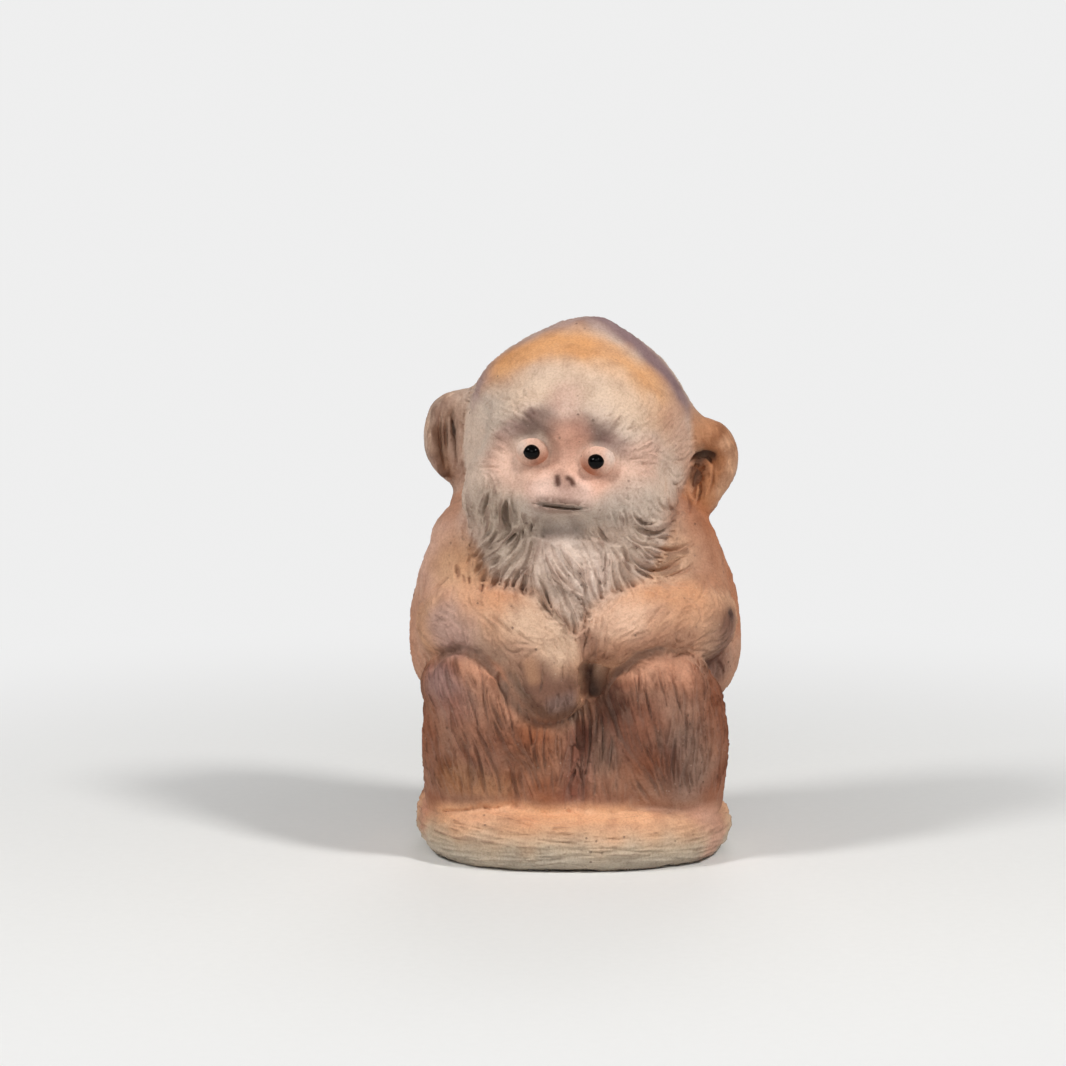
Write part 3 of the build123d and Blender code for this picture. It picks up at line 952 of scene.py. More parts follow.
MARKS = (
    # the fringe of the cheek on the left of the picture
    (0.44, 0.6, ((489, 491), (483, 504), (481, 522))),
    (0.3, 0.4, ((497, 493), (495, 509), (498, 524))),
    (0.62, 0.8, ((506, 501), (504, 515), (510, 531))),
    (0.3, 0.4, ((510, 489), (512, 509), (518, 520))),
    (0.34, 0.5, ((523, 526), (521, 542))),
    (0.34, 0.5, ((530, 521), (529, 538))),
    (0.4, 0.55, ((519, 531), (511, 540), (502, 547))),
    (0.38, 0.5, ((499, 546), (491, 550), (482, 557))),
    (0.34, 0.4, ((475, 467), (486, 466), (499, 468))),
    (0.24, 0.24, ((480, 455), (490, 458), (499, 461))),
    (0.26, 0.3, ((478, 478), (484, 486), (480, 500))),
    (0.3, 0.35, ((474, 500), (472, 515), (476, 530))),
    # the fringe of the cheek on the right
    (0.46, 0.6, ((598, 527), (602, 537), (610, 543))),
    (0.44, 0.6, ((633, 513), (639, 523), (648, 527), (660, 522))),
    (0.6, 0.8, ((635, 527), (649, 536), (668, 532), (684, 515))),
    (0.36, 0.4, ((625, 535), (644, 547), (668, 545))),
    (0.34, 0.4, ((612, 510), (615, 520), (619, 530))),
    (0.34, 0.4, ((622, 505), (628, 518), (626, 530))),
    (0.34, 0.4, ((656, 494), (662, 506), (668, 512))),
    (0.34, 0.4, ((672, 478), (679, 489), (688, 474))),
    (0.34, 0.36, ((664, 470), (668, 484), (664, 496))),
    (0.36, 0.4, ((686, 492), (692, 504), (688, 518))),
    # the locks of the beard
    (0.5, 0.55, ((550, 557), (557, 572), (568, 582), (580, 591), (588, 598))),
    (0.66, 0.75, ((586, 595), (590, 606), (592, 616))),
    (0.46, 0.5, ((538, 577), (544, 586), (548, 598), (551, 612), (559, 621), (570, 627))),
    (0.4, 0.5, ((535, 591), (540, 603), (548, 613), (555, 622))),
    (0.6, 0.65, ((556, 583), (560, 593), (566, 603), (570, 614))),
    (0.42, 0.5, ((568, 585), (575, 596), (579, 607), (582, 618))),
    (0.34, 0.3, ((563, 545), (573, 555), (581, 564), (586, 577))),
    (0.34, 0.3, ((571, 544), (580, 555), (588, 568))),
    (0.36, 0.36, ((545, 561), (548, 574), (552, 583), (561, 593))),
    (0.3, 0.4, ((528, 571), (525, 586), (526, 598))),
    (0.38, 0.45, ((535, 549), (530, 559), (523, 567), (513, 574))),
    (0.4, 0.5, ((528, 548), (519, 558), (509, 569))),
    (0.28, 0.22, ((594, 567), (597, 581), (598, 592))),
    (0.28, 0.22, ((602, 561), (604, 579), (600, 592))),
    (0.28, 0.22, ((611, 552), (613, 566), (610, 580))),
    (0.28, 0.24, ((543, 540), (541, 553), (546, 562))),
    # the pits of the chest on the left
    (0.62, 0.65, ((500, 557), (489, 566))),
    (0.6, 0.6, ((481, 561), (475, 573))),
    (0.75, 0.75, ((498, 570), (494, 579), (488, 588))),
    (0.5, 0.5, ((482, 582), (480, 592))),
    (0.36, 0.4, ((462, 575), (464, 583))),
    (0.36, 0.4, ((468, 575), (469, 584))),
    (0.56, 0.55, ((456, 565), (457, 578))),
    (0.52, 0.55, ((497, 547), (486, 550), (476, 556))),
    (0.5, 0.5, ((517, 570), (513, 585))),
    (0.34, 0.4, ((506, 580), (503, 590))),
    (0.34, 0.36, ((470, 556), (466, 565))),
    (0.36, 0.4, ((523, 583), (523, 594))),
    (0.3, 0.3, ((449, 560), (447, 570))),
    # the wrinkles of the chest on the right
    (0.56, 0.7, ((629, 554), (641, 566), (657, 570), (674, 564), (686, 557))),
    (0.5, 0.6, ((631, 566), (641, 576), (656, 580))),
    (0.5, 0.6, ((650, 545), (662, 550), (681, 548), (697, 541))),
    (0.3, 0.3, ((620, 560), (626, 572), (636, 582))),
    (0.4, 0.45, ((668, 577), (682, 573), (696, 563))),
    # the folds of the arms
    (0.5, 0.4, ((449, 575), (438, 585), (429, 594))),
    (0.4, 0.3, ((707, 576), (716, 590), (728, 600))),
    (0.5, 0.7, ((730, 612), (734, 620))),
    (0.32, 0.3, ((664, 604), (655, 616), (645, 629))),
    (0.3, 0.26, ((657, 632), (665, 625), (672, 620))),
    (0.3, 0.22, ((676, 622), (684, 615), (692, 612))),
    (0.3, 0.3, ((590, 625), (584, 645), (582, 662))),
    (0.3, 0.3, ((600, 634), (594, 652), (591, 664))),
    (0.28, 0.22, ((610, 640), (604, 655), (600, 664))),
    (0.3, 0.3, ((461, 632), (463, 642))),
    (0.3, 0.3, ((466, 636), (468, 645))),
    (0.28, 0.26, ((492, 638), (493, 650))),
    (0.3, 0.34, ((499, 655), (500, 663))),
    (0.24, 0.2, ((517, 612), (524, 624))),
    (0.24, 0.2, ((533, 628), (541, 640))),
    # the fingers
    (0.36, 0.4, ((514, 668), (518, 686), (530, 701), (539, 712))),
    (0.32, 0.35, ((539, 655), (543, 674), (541, 692), (536, 702))),
    (0.36, 0.26, ((521, 665), (528, 655), (538, 651))),
    (0.3, 0.3, ((546, 698), (547, 714))),
    (0.3, 0.3, ((557, 694), (557, 712))),
    (0.3, 0.3, ((566, 696), (568, 710))),
    (0.26, 0.22, ((564, 651), (575, 662))),
    (0.26, 0.22, ((568, 666), (576, 676))),
    (0.26, 0.22, ((569, 681), (577, 691))),
    (0.28, 0.16, ((554, 660), (559, 680), (555, 694))),
    # the strands between the legs
    (0.5, 0.6, ((586, 702), (590, 730), (588, 762), (581, 796))),
    (0.36, 0.45, ((558, 727), (556, 752), (563, 776))),
    (0.4, 0.5, ((570, 724), (577, 741), (582, 755))),
    (0.4, 0.5, ((574, 745), (568, 768), (566, 782))),
    (0.34, 0.4, ((566, 740), (571, 756), (576, 770))),
    (0.36, 0.45, ((592, 715), (594, 745), (590, 775))),
    (0.36, 0.4, ((598, 735), (596, 765), (600, 790))),
    # the folds inside the ears
    (0.6, 0.8, ((690, 464), (699, 453), (708, 450), (714, 455))),
    (0.4, 0.45, ((694, 484), (698, 470), (706, 466))),
    (0.34, 0.36, ((712, 468), (713, 484), (706, 496))),
    (0.34, 0.4, ((699, 478), (700, 492), (696, 504))),
    (0.4, 0.5, ((441, 412), (440, 440), (446, 470))),
    (0.4, 0.5, ((452, 410), (454, 438), (456, 470))),
    (0.34, 0.4, ((461, 420), (463, 440), (462, 462))),
)


# The line between the lips, drawn with the needle's own width and depth
lip_line = ((533, 504), (547, 506), (561, 508), (574, 509), (588, 509))
lip_line_width = 0.24
lip_line_depth = 0.3


def scratch_by_hand(scratches, whole):
    for width, depth, pixels in MARKS:
        draw(scratches, whole, pixels, needle_width_share * width, needle_depth_share * depth)
    draw(scratches, whole, lip_line, lip_line_width, lip_line_depth)


# Finished pieces, the eyes and the pupils

# How flat an eyeball is pressed, and the swells of an eyeball and of a pupil: their breadth and height
# in millimetres, and the level that they swell from
EYE_PRESS = (1.0, 0.98, 0.97)
EYE_SWELLS = (1.6, 0.05, 0.8)
PUPIL_SWELLS = (0.8, 0.12, 0.7)


def deselect():
    bpy.ops.object.select_all(action="DESELECT")


def pick_up(piece):
    """Makes a piece the only one that operators work on."""
    deselect()
    piece.select_set(True)
    bpy.context.view_layer.objects.active = piece


def flattened(piece, name):
    """A finished piece: named, with its place and turn in its mesh."""
    pick_up(piece)
    bpy.ops.object.transform_apply(location=True, rotation=True, scale=True)
    bpy.ops.object.shade_smooth()
    piece.name = piece.data.name = name
    return piece


def finish_with(piece, kind, **settings):
    """A modifier with its settings, applied."""
    pick_up(piece)
    modifier = piece.modifiers.new(kind.lower(), kind)
    for key, value in settings.items():
        setattr(modifier, key, value)
    bpy.ops.object.modifier_apply(modifier=modifier.name)


def thinned(piece):
    """A skin with no more faces than an STL file keeps."""
    piece.data.calc_loop_triangles()
    count = len(piece.data.loop_triangles)
    if count > most_faces:
        finish_with(piece, "DECIMATE", ratio=most_faces / count)
        bpy.ops.object.shade_smooth()
    return piece


def make_uneven(piece, breadth, height, middle):
    """Soft swells on a small piece, as rolling it by hand leaves them."""
    swells = bpy.data.textures.new(piece.name + "_swells", "CLOUDS")
    swells.noise_scale = breadth * MM
    finish_with(piece, "DISPLACE", texture=swells, strength=height * MM, mid_level=middle)
    return piece


def add_eyeball(name):
    """A small ball of clay, rolled by hand and pressed a little flat."""
    deselect()
    radius = float(node_size(name).min()) / 2 * MM
    bpy.ops.mesh.primitive_ico_sphere_add(
        subdivisions=5, radius=radius, location=node_centre(name) * MM
    )
    piece = bpy.context.object
    bpy.ops.object.mode_set(mode="EDIT")
    bpy.ops.mesh.select_all(action="SELECT")
    bpy.ops.transform.resize(value=EYE_PRESS)
    bpy.ops.object.mode_set(mode="OBJECT")
    return make_uneven(flattened(piece, name), *EYE_SWELLS)


def add_pupil(name):
    """A drop of glaze, round but not quite."""
    deselect()
    bpy.ops.mesh.primitive_ico_sphere_add(
        subdivisions=4, radius=0.5, location=node_centre(name) * MM
    )
    piece = bpy.context.object
    piece.scale = node_size(name) * MM
    return make_uneven(flattened(piece, name), *PUPIL_SWELLS)


# Finishes

class Wire:
    """A shader socket that takes part in sums: an expression on wires adds the Math nodes it needs."""

    tree = None

    def __init__(self, socket):
        self.socket = socket

    @classmethod
    def node(cls, kind, settings=None, outlet=0, **values):
        """A node of any type: its settings first, then the values or links of its sockets.

        A socket is called by its name, with _ for each space, or as n and its number.
        """
        made = cls.tree.nodes.new("ShaderNode" + kind)
        for key, value in (settings or {}).items():
            setattr(made, key, value)
        for key, value in values.items():
            numbered = key[0] == "n" and key[1:].isdigit()
            socket = made.inputs[int(key[1:]) if numbered else key.replace("_", " ")]
            if isinstance(value, Wire):
                cls.tree.links.new(value.socket, socket)
            else:
                socket.default_value = value
        return Wire(made.outputs[outlet])

    def __add__(self, other):
        return Wire.node("Math", {"operation": "ADD"}, n0=self, n1=other)

    def __radd__(self, other):
        return self + other

    def __sub__(self, other):
        return Wire.node("Math", {"operation": "SUBTRACT"}, n0=self, n1=other)

    def __rsub__(self, other):
        return Wire.node("Math", {"operation": "SUBTRACT"}, n0=other, n1=self)

    def __mul__(self, other):
        return Wire.node("Math", {"operation": "MULTIPLY"}, n0=self, n1=other)

    def __rmul__(self, other):
        return self * other


def tone(red, green, blue):
    """A colour as the eye reads it, 0 to 255, in the linear values that a shader takes."""
    shares = [value / 255 for value in (red, green, blue)]
    return tuple(s / 12.92 if s < 0.04045 else ((s + 0.055) / 1.055) ** 2.4 for s in shares)


def start_finish(name):
    finish = bpy.data.materials.new(name)
    finish.use_nodes = True
    Wire.tree = finish.node_tree
    shader = finish.node_tree.nodes["Principled BSDF"]
    return finish, shader


def link(wire, shader, name):
    Wire.tree.links.new(wire.socket, shader.inputs[name])


def rise_of(value, low, high):
    """A value spread from 0 to 1 between two of its own."""
    return Wire.node(
        "MapRange", {"interpolation_type": "SMOOTHSTEP"}, Value=value, From_Min=low, From_Max=high
    )


def mixed(share, first, second, blend="MIX"):
    """Two colours mixed, each a wire or linear values with an alpha."""
    settings = {"data_type": "RGBA", "blend_type": blend}
    return Wire.node("Mix", settings, 2, n0=share, n6=first, n7=second)


def noise(place, scale, detail=3.0, roughness=0.55):
    return Wire.node("TexNoise", Vector=place, Scale=scale, Detail=detail, Roughness=roughness)


def dots(place, scale, size, edge, patches, low, high):
    """Round specks in some patches of the surface only."""
    gap = Wire.node("TexVoronoi", None, "Distance", Vector=place, Scale=scale)
    return rise_of(size - gap, 0.0, edge) * rise_of(noise(place, patches, 1), low, high)


def object_places():
    return Wire.node("TexCoord", None, "Object")


def attribute(name, outlet):
    return Wire.node("Attribute", {"attribute_name": name}, outlet)


def bumped(height, depth, shader):
    """Fine relief up to a depth in millimetres."""
    link(Wire.node("Bump", Height=height, Distance=depth * MM, Strength=1.0), shader, "Normal")


# The clay's patterns, each by how many fit into a metre
cloud_scale = 130
mottle_scale = 420
grit_scale = 4200
coarse_grain_scale = 900
fine_grain_scale = 2600
combed_grain_scale = 2400
combed_stretch = (1.0, 1.0, 0.16)

# Specks: how many fit into a metre, their size and edge in their own spacing, the patches that they
# keep to, and where these start and end
DARK_SPECKS = (900.0, 0.17, 0.06, 260, 0.55, 0.66)
PALE_SPECKS = (1300.0, 0.16, 0.08, 310, 0.52, 0.64)

# The clay's relief in millimetres, its least roughness and its gloss
clay_relief = 0.09
clay_roughness = 0.74
clay_gloss = 0.35


def fired_clay(name, scratched=True):
    """Unglazed clay under airbrushed colour, specked, with painted shade in its scratches and hollows and a
    painted highlight on its ridges.
    """
    finish, shader = start_finish(name)
    place = object_places()
    mottle = noise(place, mottle_scale, 4)
    cloud = noise(place, cloud_scale)
    grit = noise(place, grit_scale, 2, 0.6)
    dark_speck = dots(place, *DARK_SPECKS)
    # each layer of colour: how much of it shows, its tone and the way it lies on what is below
    layers = [
        (rise_of(cloud, 0.35, 0.7) * 0.16, (236, 214, 190), "MIX"),
        (rise_of(mottle, 0.42, 0.75) * 0.3, (150, 118, 104), "MULTIPLY"),
    ]
    if scratched:
        hollow_shading = attribute("hollow_shading", "Fac")
        layers += [
            # painted shade: darker in the scratches
            (rise_of(attribute("groove", "Fac"), 0.15, 0.8) * 0.32, (150, 116, 98), "MULTIPLY"),
            # painted shade: darker in the hollows and creases
            (rise_of(hollow_shading, 0.1, 0.9) * 0.6, (132, 98, 80), "MULTIPLY"),
            # painted highlight: lighter on the ridges
            (rise_of(0 - hollow_shading, 0.1, 0.9) * 0.06, (246, 230, 212), "MIX"),
        ]
    layers += [
        (rise_of(grit, 0.35, 0.75) * 0.3, (176, 150, 136), "MULTIPLY"),
        (dark_speck * 0.55, (92, 66, 56), "MIX"),
        (dots(place, *PALE_SPECKS) * 0.16, (242, 226, 208), "MIX"),
    ]
    colour = attribute("airbrush", "Color")
    for share, tint, blend in layers:
        colour = mixed(share, colour, (*tone(*tint), 1), blend)
    link(colour, shader, "Base Color")
    link(clay_roughness + mottle * 0.2, shader, "Roughness")
    combed = Wire.node("Mapping", Vector=place, Scale=combed_stretch)
    grain = noise(place, fine_grain_scale, 3, 0.6) * 0.5 + noise(place, coarse_grain_scale)
    grain = grain - dark_speck * 0.8 + noise(combed, combed_grain_scale, 2) * 0.9
    bumped(grain + grit * 0.5, clay_relief, shader)
    shader.inputs["Specular IOR Level"].default_value = clay_gloss
    return finish


# The glaze: its two blacks, its relief in millimetres, its roughness and its gloss
GLAZE_BLACKS = ((0.0008, 0.0008, 0.001, 1), (0.002, 0.002, 0.002, 1))
glaze_scale = 900
glaze_relief = 0.003
glaze_roughness = 0.04
glaze_gloss = 0.1


def black_glaze(name):
    finish, shader = start_finish(name)
    place = object_places()
    cloud = noise(place, glaze_scale, 2)
    link(mixed(cloud, *GLAZE_BLACKS), shader, "Base Color")
    link(glaze_roughness + cloud * 0.04, shader, "Roughness")
    bumped(noise(place, glaze_scale, 1), glaze_relief, shader)
    shader.inputs["Specular IOR Level"].default_value = glaze_gloss
    return finish


# Airbrushed colours, with painted shade and highlights, as the eye reads them

HEAD = ("head", "beard", *EARS)
BODY = ("torso", *UPPER_ARMS)
ARMS = (*FOREARMS, *HANDS)
LEGS = (*SHINS, *THIGHS)

# The ground under the sprays: the pieces, and their tones, each with the height in millimetres at which
# it is pure
GROUND_TONES = (
    (HEAD, ((0.0, (210, 187, 171)),)),
    (BODY, ((0.0, (188, 138, 112)),)),
    (ARMS, ((0.0, (200, 152, 120)),)),
    (LEGS, ((0.0, (148, 92, 66)),)),
    (
        ("tail",),
        (
            (0.0, (180, 168, 152)),
            (1.2, (196, 184, 166)),
            (2.6, (196, 176, 152)),
            (4.4, (216, 170, 134)),
            (6.2, (222, 160, 120)),
        ),
    ),
    (("floor",), ((0.0, (205, 168, 146)),)),
)

# Each spray: the pieces it falls on, its colour, its reach in millimetres, its strength, and the
# pixels of the picture that it passes over. A note above a spray says where it is painted shade and where a
# painted highlight
SPRAYS_SEEN = (
    (HEAD, (164, 134, 130), 2.8, 0.85, ((478, 384), (512, 350), (554, 326), (592, 317), (625, 333),
                                       (656, 362), (678, 390))),
    (HEAD, (132, 104, 110), 2.4, 0.75, ((610, 322), (636, 342), (660, 366), (682, 396))),
    (HEAD, (222, 158, 98), 3.6, 0.9, ((507, 362), (554, 343), (602, 355), (637, 379), (656, 405))),
    (HEAD, (220, 192, 168), 3.0, 0.8, ((521, 393), (566, 378), (614, 391), (637, 414))),
    (HEAD, (210, 180, 160), 3.0, 0.5, ((664, 420), (668, 450), (660, 475))),
    (HEAD, (196, 180, 166), 2.6, 0.6, ((490, 405), (494, 426), (488, 445))),
    (HEAD, (196, 150, 138), 2.0, 0.45, ((564, 405), (566, 396))),
    # the next five: the brow's dark marks, deepened as painted shade where the brow overhangs the eyes
    (HEAD, (108, 78, 72), 1.7, 0.85, ((528, 428), (540, 418), (552, 432))),
    (HEAD, (108, 78, 72), 0.9, 0.7, ((531, 413), (536, 424))),
    (HEAD, (150, 114, 108), 1.3, 0.7, ((503, 438), (514, 430))),
    (HEAD, (104, 74, 70), 1.8, 0.85, ((568, 432), (584, 428), (600, 436))),
    (HEAD, (142, 106, 100), 1.5, 0.7, ((612, 442), (624, 450))),
    (HEAD, (228, 166, 142), 2.8, 0.9, ((568, 443), (564, 464), (550, 483), (585, 483), (602, 480))),
    (HEAD, (222, 178, 158), 2.8, 0.7, ((500, 458), (515, 472), (625, 478), (645, 458))),
    # the next three: painted shade in the creases beside and under the eyes
    (HEAD, (150, 102, 84), 0.9, 0.7, ((554, 444), (555, 458))),
    (HEAD, (176, 122, 100), 0.9, 0.6, ((527, 467), (541, 468), (551, 460))),
    (HEAD, (176, 122, 100), 0.9, 0.6, ((583, 460), (588, 473), (602, 479), (614, 475))),
    (HEAD, (248, 216, 202), 2.1, 0.8, ((545, 493), (560, 494), (578, 497))),
    # the next three: painted shade under the upper lip, painted shade in the mouth's parting, and a painted
    # highlight on the pale pink lower lip
    (HEAD, (166, 138, 126), 0.5, 0.55, ((540, 500), (560, 502), (578, 504))),
    (HEAD, (84, 58, 48), 0.42, 0.95, ((541, 505), (561, 507.5), (580, 509))),
    (HEAD, (232, 196, 180), 0.4, 0.7, ((542, 509.5), (560, 512.5), (580, 513))),
    (HEAD, (206, 180, 168), 1.3, 0.7, ((540, 516), (560, 518), (580, 517))),
    # the next two: painted shade in the nostrils
    (HEAD, (84, 28, 16), 0.36, 1.0, ((557.3, 477), (557.8, 484))),
    (HEAD, (90, 34, 20), 0.36, 1.0, ((568, 478), (571, 480), (573, 484))),
    # the next two: painted shadow under the lower lip, in the hollow of the chin
    (HEAD, (126, 108, 98), 2.2, 0.55, ((547, 531), (561, 533), (576, 530))),
    (HEAD, (96, 80, 72), 1.4, 0.8, ((549, 533), (561, 535), (574, 533))),
    (HEAD, (184, 170, 158), 2.2, 0.7, ((521, 517), (598, 517), (612, 508))),
    (HEAD, (232, 212, 200), 3.4, 0.7, ((566, 556), (592, 575))),
    (HEAD, (196, 174, 158), 2.0, 0.5, ((550, 606), (568, 612), (587, 608))),
    (HEAD, (176, 160, 144), 3.4, 0.7, ((488, 512), (508, 530), (500, 548))),
    (HEAD, (186, 170, 158), 3.0, 0.6, ((628, 500), (644, 512))),
    (HEAD, (174, 124, 98), 2.6, 0.8, ((676, 514), (697, 490), (690, 470))),
    (HEAD, (192, 146, 122), 2.5, 0.7, ((676, 420), (686, 450))),
    (("left_ear",), (186, 122, 76), 4.0, 0.95, ((712, 430), (724, 450), (714, 476), (704, 490))),
    (("left_ear",), (224, 176, 140), 1.0, 0.8, ((728, 444), (733, 456), (730, 474), (722, 490))),
    # painted shade in the ear's fold
    (("left_ear",), (98, 66, 48), 0.8, 0.85, ((698, 460), (706, 453), (713, 455))),
    (("right_ear",), (176, 140, 120), 4.0, 0.9, ((450, 420), (450, 450), (445, 470))),
    # painted shade along the fold inside the ear
    (("right_ear",), (136, 92, 64), 1.1, 0.8, ((437, 430), (441, 454), (446, 474))),
    (("right_ear",), (212, 178, 154), 0.8, 0.7, ((446, 396), (432, 404), (428, 425), (432, 450))),
    (BODY, (222, 182, 164), 5.0, 0.75, ((436, 520), (430, 560))),
    (BODY, (198, 148, 108), 3.6, 0.8, ((449, 566), (470, 565), (490, 570))),
    (BODY, (178, 150, 124), 3.0, 0.7, ((505, 560), (490, 540))),
    (BODY, (232, 192, 160), 3.8, 0.8, ((635, 556), (655, 562), (675, 550))),
    (BODY, (176, 108, 70), 5.0, 0.85, ((712, 530), (721, 554), (735, 590))),
    (BODY, (198, 132, 88), 1.6, 0.7, ((722, 540), (736, 566), (742, 590))),
    (BODY, (194, 144, 118), 3.4, 0.7, ((420, 600), (414, 630), (424, 660))),
    (BODY + ARMS, (106, 68, 58), 2.8, 0.85, ((730, 626), (724, 648), (714, 668), (702, 690))),
    # painted shade in the elbow's pit
    (BODY + ARMS, (70, 50, 48), 0.9, 0.8, ((732, 614),)),
    (ARMS, (208, 150, 112), 2.2, 0.65, ((456, 600), (478, 596), (508, 604))),
    (ARMS, (172, 138, 130), 3.0, 0.8, ((442, 620), (456, 640), (468, 655))),
    (ARMS, (216, 184, 158), 3.0, 0.8, ((528, 618), (551, 635), (562, 650))),
    # painted shade along the forearm's lower edge
    (ARMS, (160, 124, 104), 2.2, 0.75, ((486, 652), (505, 658), (520, 662))),
    (ARMS, (212, 154, 114), 2.2, 0.75, ((640, 600), (665, 594), (690, 594))),
    (ARMS, (228, 190, 164), 3.0, 0.8, ((596, 622), (624, 618), (650, 622))),
    (ARMS, (204, 152, 118), 2.4, 0.65, ((662, 628), (690, 616))),
    # painted shade along the forearm's lower edge
    (ARMS, (158, 110, 86), 1.8, 0.7, ((604, 654), (630, 652), (660, 642), (690, 640))),
    # painted shade in the recess between the forearm and the hand
    (("left_hand", "left_forearm"), (140, 94, 72), 1.8, 0.8, ((588, 640), (588, 655))),
    (ARMS, (116, 80, 66), 2.8, 0.9, ((536, 684), (552, 696), (566, 692))),
    (ARMS, (172, 128, 98), 1.0, 0.8, ((529, 664), (533, 678))),
    # painted shadow along the hand's lower edge
    (ARMS, (104, 70, 54), 1.3, 0.85, ((508, 678), (520, 698), (536, 712), (556, 717), (572, 710))),
    (ARMS, (150, 126, 118), 1.2, 0.6, ((556, 706), (570, 702))),
    # painted shade in the gap between the hand, the forearm and the knees
    (BODY + ARMS + LEGS, (84, 56, 44), 1.3, 0.95, ((590, 671), (592, 690))),
    (LEGS, (160, 126, 120), 2.6, 0.85, ((437, 680), (446, 692), (452, 704))),
    (LEGS, (200, 138, 106), 2.4, 0.75, ((478, 664), (496, 676), (510, 700))),
    (LEGS, (158, 94, 66), 3.0, 0.6, ((456, 716), (466, 740), (486, 752))),
    (LEGS, (172, 112, 66), 2.4, 0.8, ((452, 780), (480, 788), (500, 792))),
    (LEGS, (158, 96, 62), 3.0, 0.7, ((540, 740), (535, 770), (530, 795))),
    (LEGS, (126, 56, 34), 1.8, 0.85, ((582, 735), (580, 765), (574, 792))),
    (LEGS, (92, 54, 40), 3.0, 0.85, ((610, 700), (606, 730), (614, 752))),
    (LEGS, (206, 146, 116), 2.8, 0.75, ((640, 664), (662, 664), (684, 672))),
    (LEGS, (146, 98, 78), 3.2, 0.7, ((650, 716), (680, 720), (640, 740))),
    (LEGS, (122, 92, 82), 3.0, 0.65, ((684, 748), (692, 774), (676, 788))),
    # painted shadow of the hand on the knees, under its lower edge
    (LEGS, (104, 62, 44), 0.9, 0.85, ((504, 688), (520, 709), (537, 722), (556, 724), (574, 716))),
    # the next two: painted shade in the creases over the knees
    (LEGS + ARMS, (112, 72, 54), 0.7, 0.7, ((442, 655), (458, 650), (477, 655), (492, 671), (505, 688))),
    (LEGS + ARMS, (112, 72, 54), 0.7, 0.7, ((606, 688), (619, 671), (638, 657), (660, 651))),
    # painted shade where the legs meet the tail
    (LEGS + ("tail",), (142, 88, 62), 0.7, 0.65, ((423, 789), (458, 799), (497, 801), (567, 807),
                                                (633, 810), (688, 808), (711, 795))),
    (LEGS, (150, 98, 72), 2.6, 0.7, ((622, 780), (640, 795), (656, 798))),
    (("tail",), (242, 182, 136), 1.6, 0.75, ((445, 806), (473, 809), (544, 807), (600, 811), (640, 815))),
    (("tail",), (206, 154, 132), 2.8, 0.75, ((706, 812), (722, 830), (716, 845))),
    (("tail",), (196, 136, 110), 2.0, 0.7, ((424, 806), (420, 820))),
)

# The same for the sides and the back, with places in millimetres
SPRAYS_BEHIND = (
    (HEAD, (166, 139, 136), 6.5, 0.8, ((0, 8, 56), (-4, 9, 50), (4, 9, 50))),
    (HEAD, (205, 166, 132), 5.0, 0.6, ((-9, 6, 46), (9, 6, 46), (0, 10, 42))),
    (HEAD, (194, 148, 120), 5.0, 0.8, ((-9, 7, 39), (0, 10, 38), (9, 7, 39))),
    (BODY, (204, 160, 132), 4.0, 0.6, ((-7, 9, 35), (0, 11, 35), (7, 9, 35))),
    (BODY, (214, 164, 126), 6.0, 0.7, ((0, 12, 34), (0, 14, 28))),
    (BODY, (166, 124, 112), 6.0, 0.7, ((0, 14, 18), (-7, 13, 14), (7, 13, 14))),
    (BODY, (176, 138, 128), 5.0, 0.6, ((-12, 6, 26), (12, 6, 26))),
    (LEGS, (150, 118, 112), 4.0, 0.7, ((-16, 8, 12), (16, 8, 12))),
    (LEGS, (204, 150, 108), 3.5, 0.6, ((-15, 2, 6), (15, 2, 6))),
)


def piece_gaps(own, points):
    """How much farther each piece lies from some points than the nearest piece does."""
    gaps = {}
    for name, field in own.items():
        place = points / spacing - field.corner
        near = np.all((place > 0) & (place < np.array(field.values.shape) - 1), axis=1)
        gaps[name] = np.full(len(points), band)
        if near.any():
            gaps[name][near] = read_at(field.values, points[near], field.corner)
    least = np.min(list(gaps.values()), axis=0)
    return {name: gap - least for name, gap in gaps.items()}


# How far a spray goes on past the joins of its pieces, and where its edge ends and starts, in reaches
spray_overlap = 1.7
SPRAY_EDGE = (1.35, 0.25)
spray_unevenness = 0.22
ring_unevenness = 0.7


def share_of(pieces, gaps):
    """How much of some pieces' colour lies on each point: all of it on them, fading past their joins."""
    gap = np.min([gaps[name] for name in pieces], axis=0)
    return soft_step(spray_overlap, 0, gap)


def airbrushed_and_shaded(points, own, whole, unevenness):
    """The colour of each point of a skin: its ground tone, then one spray after another, painted shade and
    highlights among them.
    """
    gaps = piece_gaps(own, points)
    colours = np.zeros((len(points), 3))
    total = np.zeros((len(points), 1))
    height = points[:, 2] + ring_unevenness * unevenness
    for pieces, grounds in GROUND_TONES:
        share = share_of(pieces, gaps)[:, None]
        heights = [pure_at for pure_at, _ in grounds]
        tones = zip(*[tone(*ground) for _, ground in grounds])
        colours += share * np.stack([np.interp(height, heights, part) for part in tones], axis=1)
        total += share
    colours /= total
    behind = [(*spray[:4], np.array(spray[4], dtype=float)) for spray in SPRAYS_BEHIND]
    before = [(*spray[:4], spray_places(whole, spray[4])) for spray in SPRAYS_SEEN]
    for pieces, colour, reach, strength, places in behind + before:
        far = distance_to_line(points, places) / reach * (1 + spray_unevenness * unevenness)
        share = strength * soft_step(*SPRAY_EDGE, far) * share_of(pieces, gaps)
        colours += share[:, None] * (np.array(tone(*colour)) - colours)
    return colours


spray_cache = {}


def spray_places(whole, pixels):
    """A seen spray's places on the clay, looked up once for all the pieces."""
    if pixels not in spray_cache:
        spray_cache[pixels] = seen(whole, pixels)
    return spray_cache[pixels]


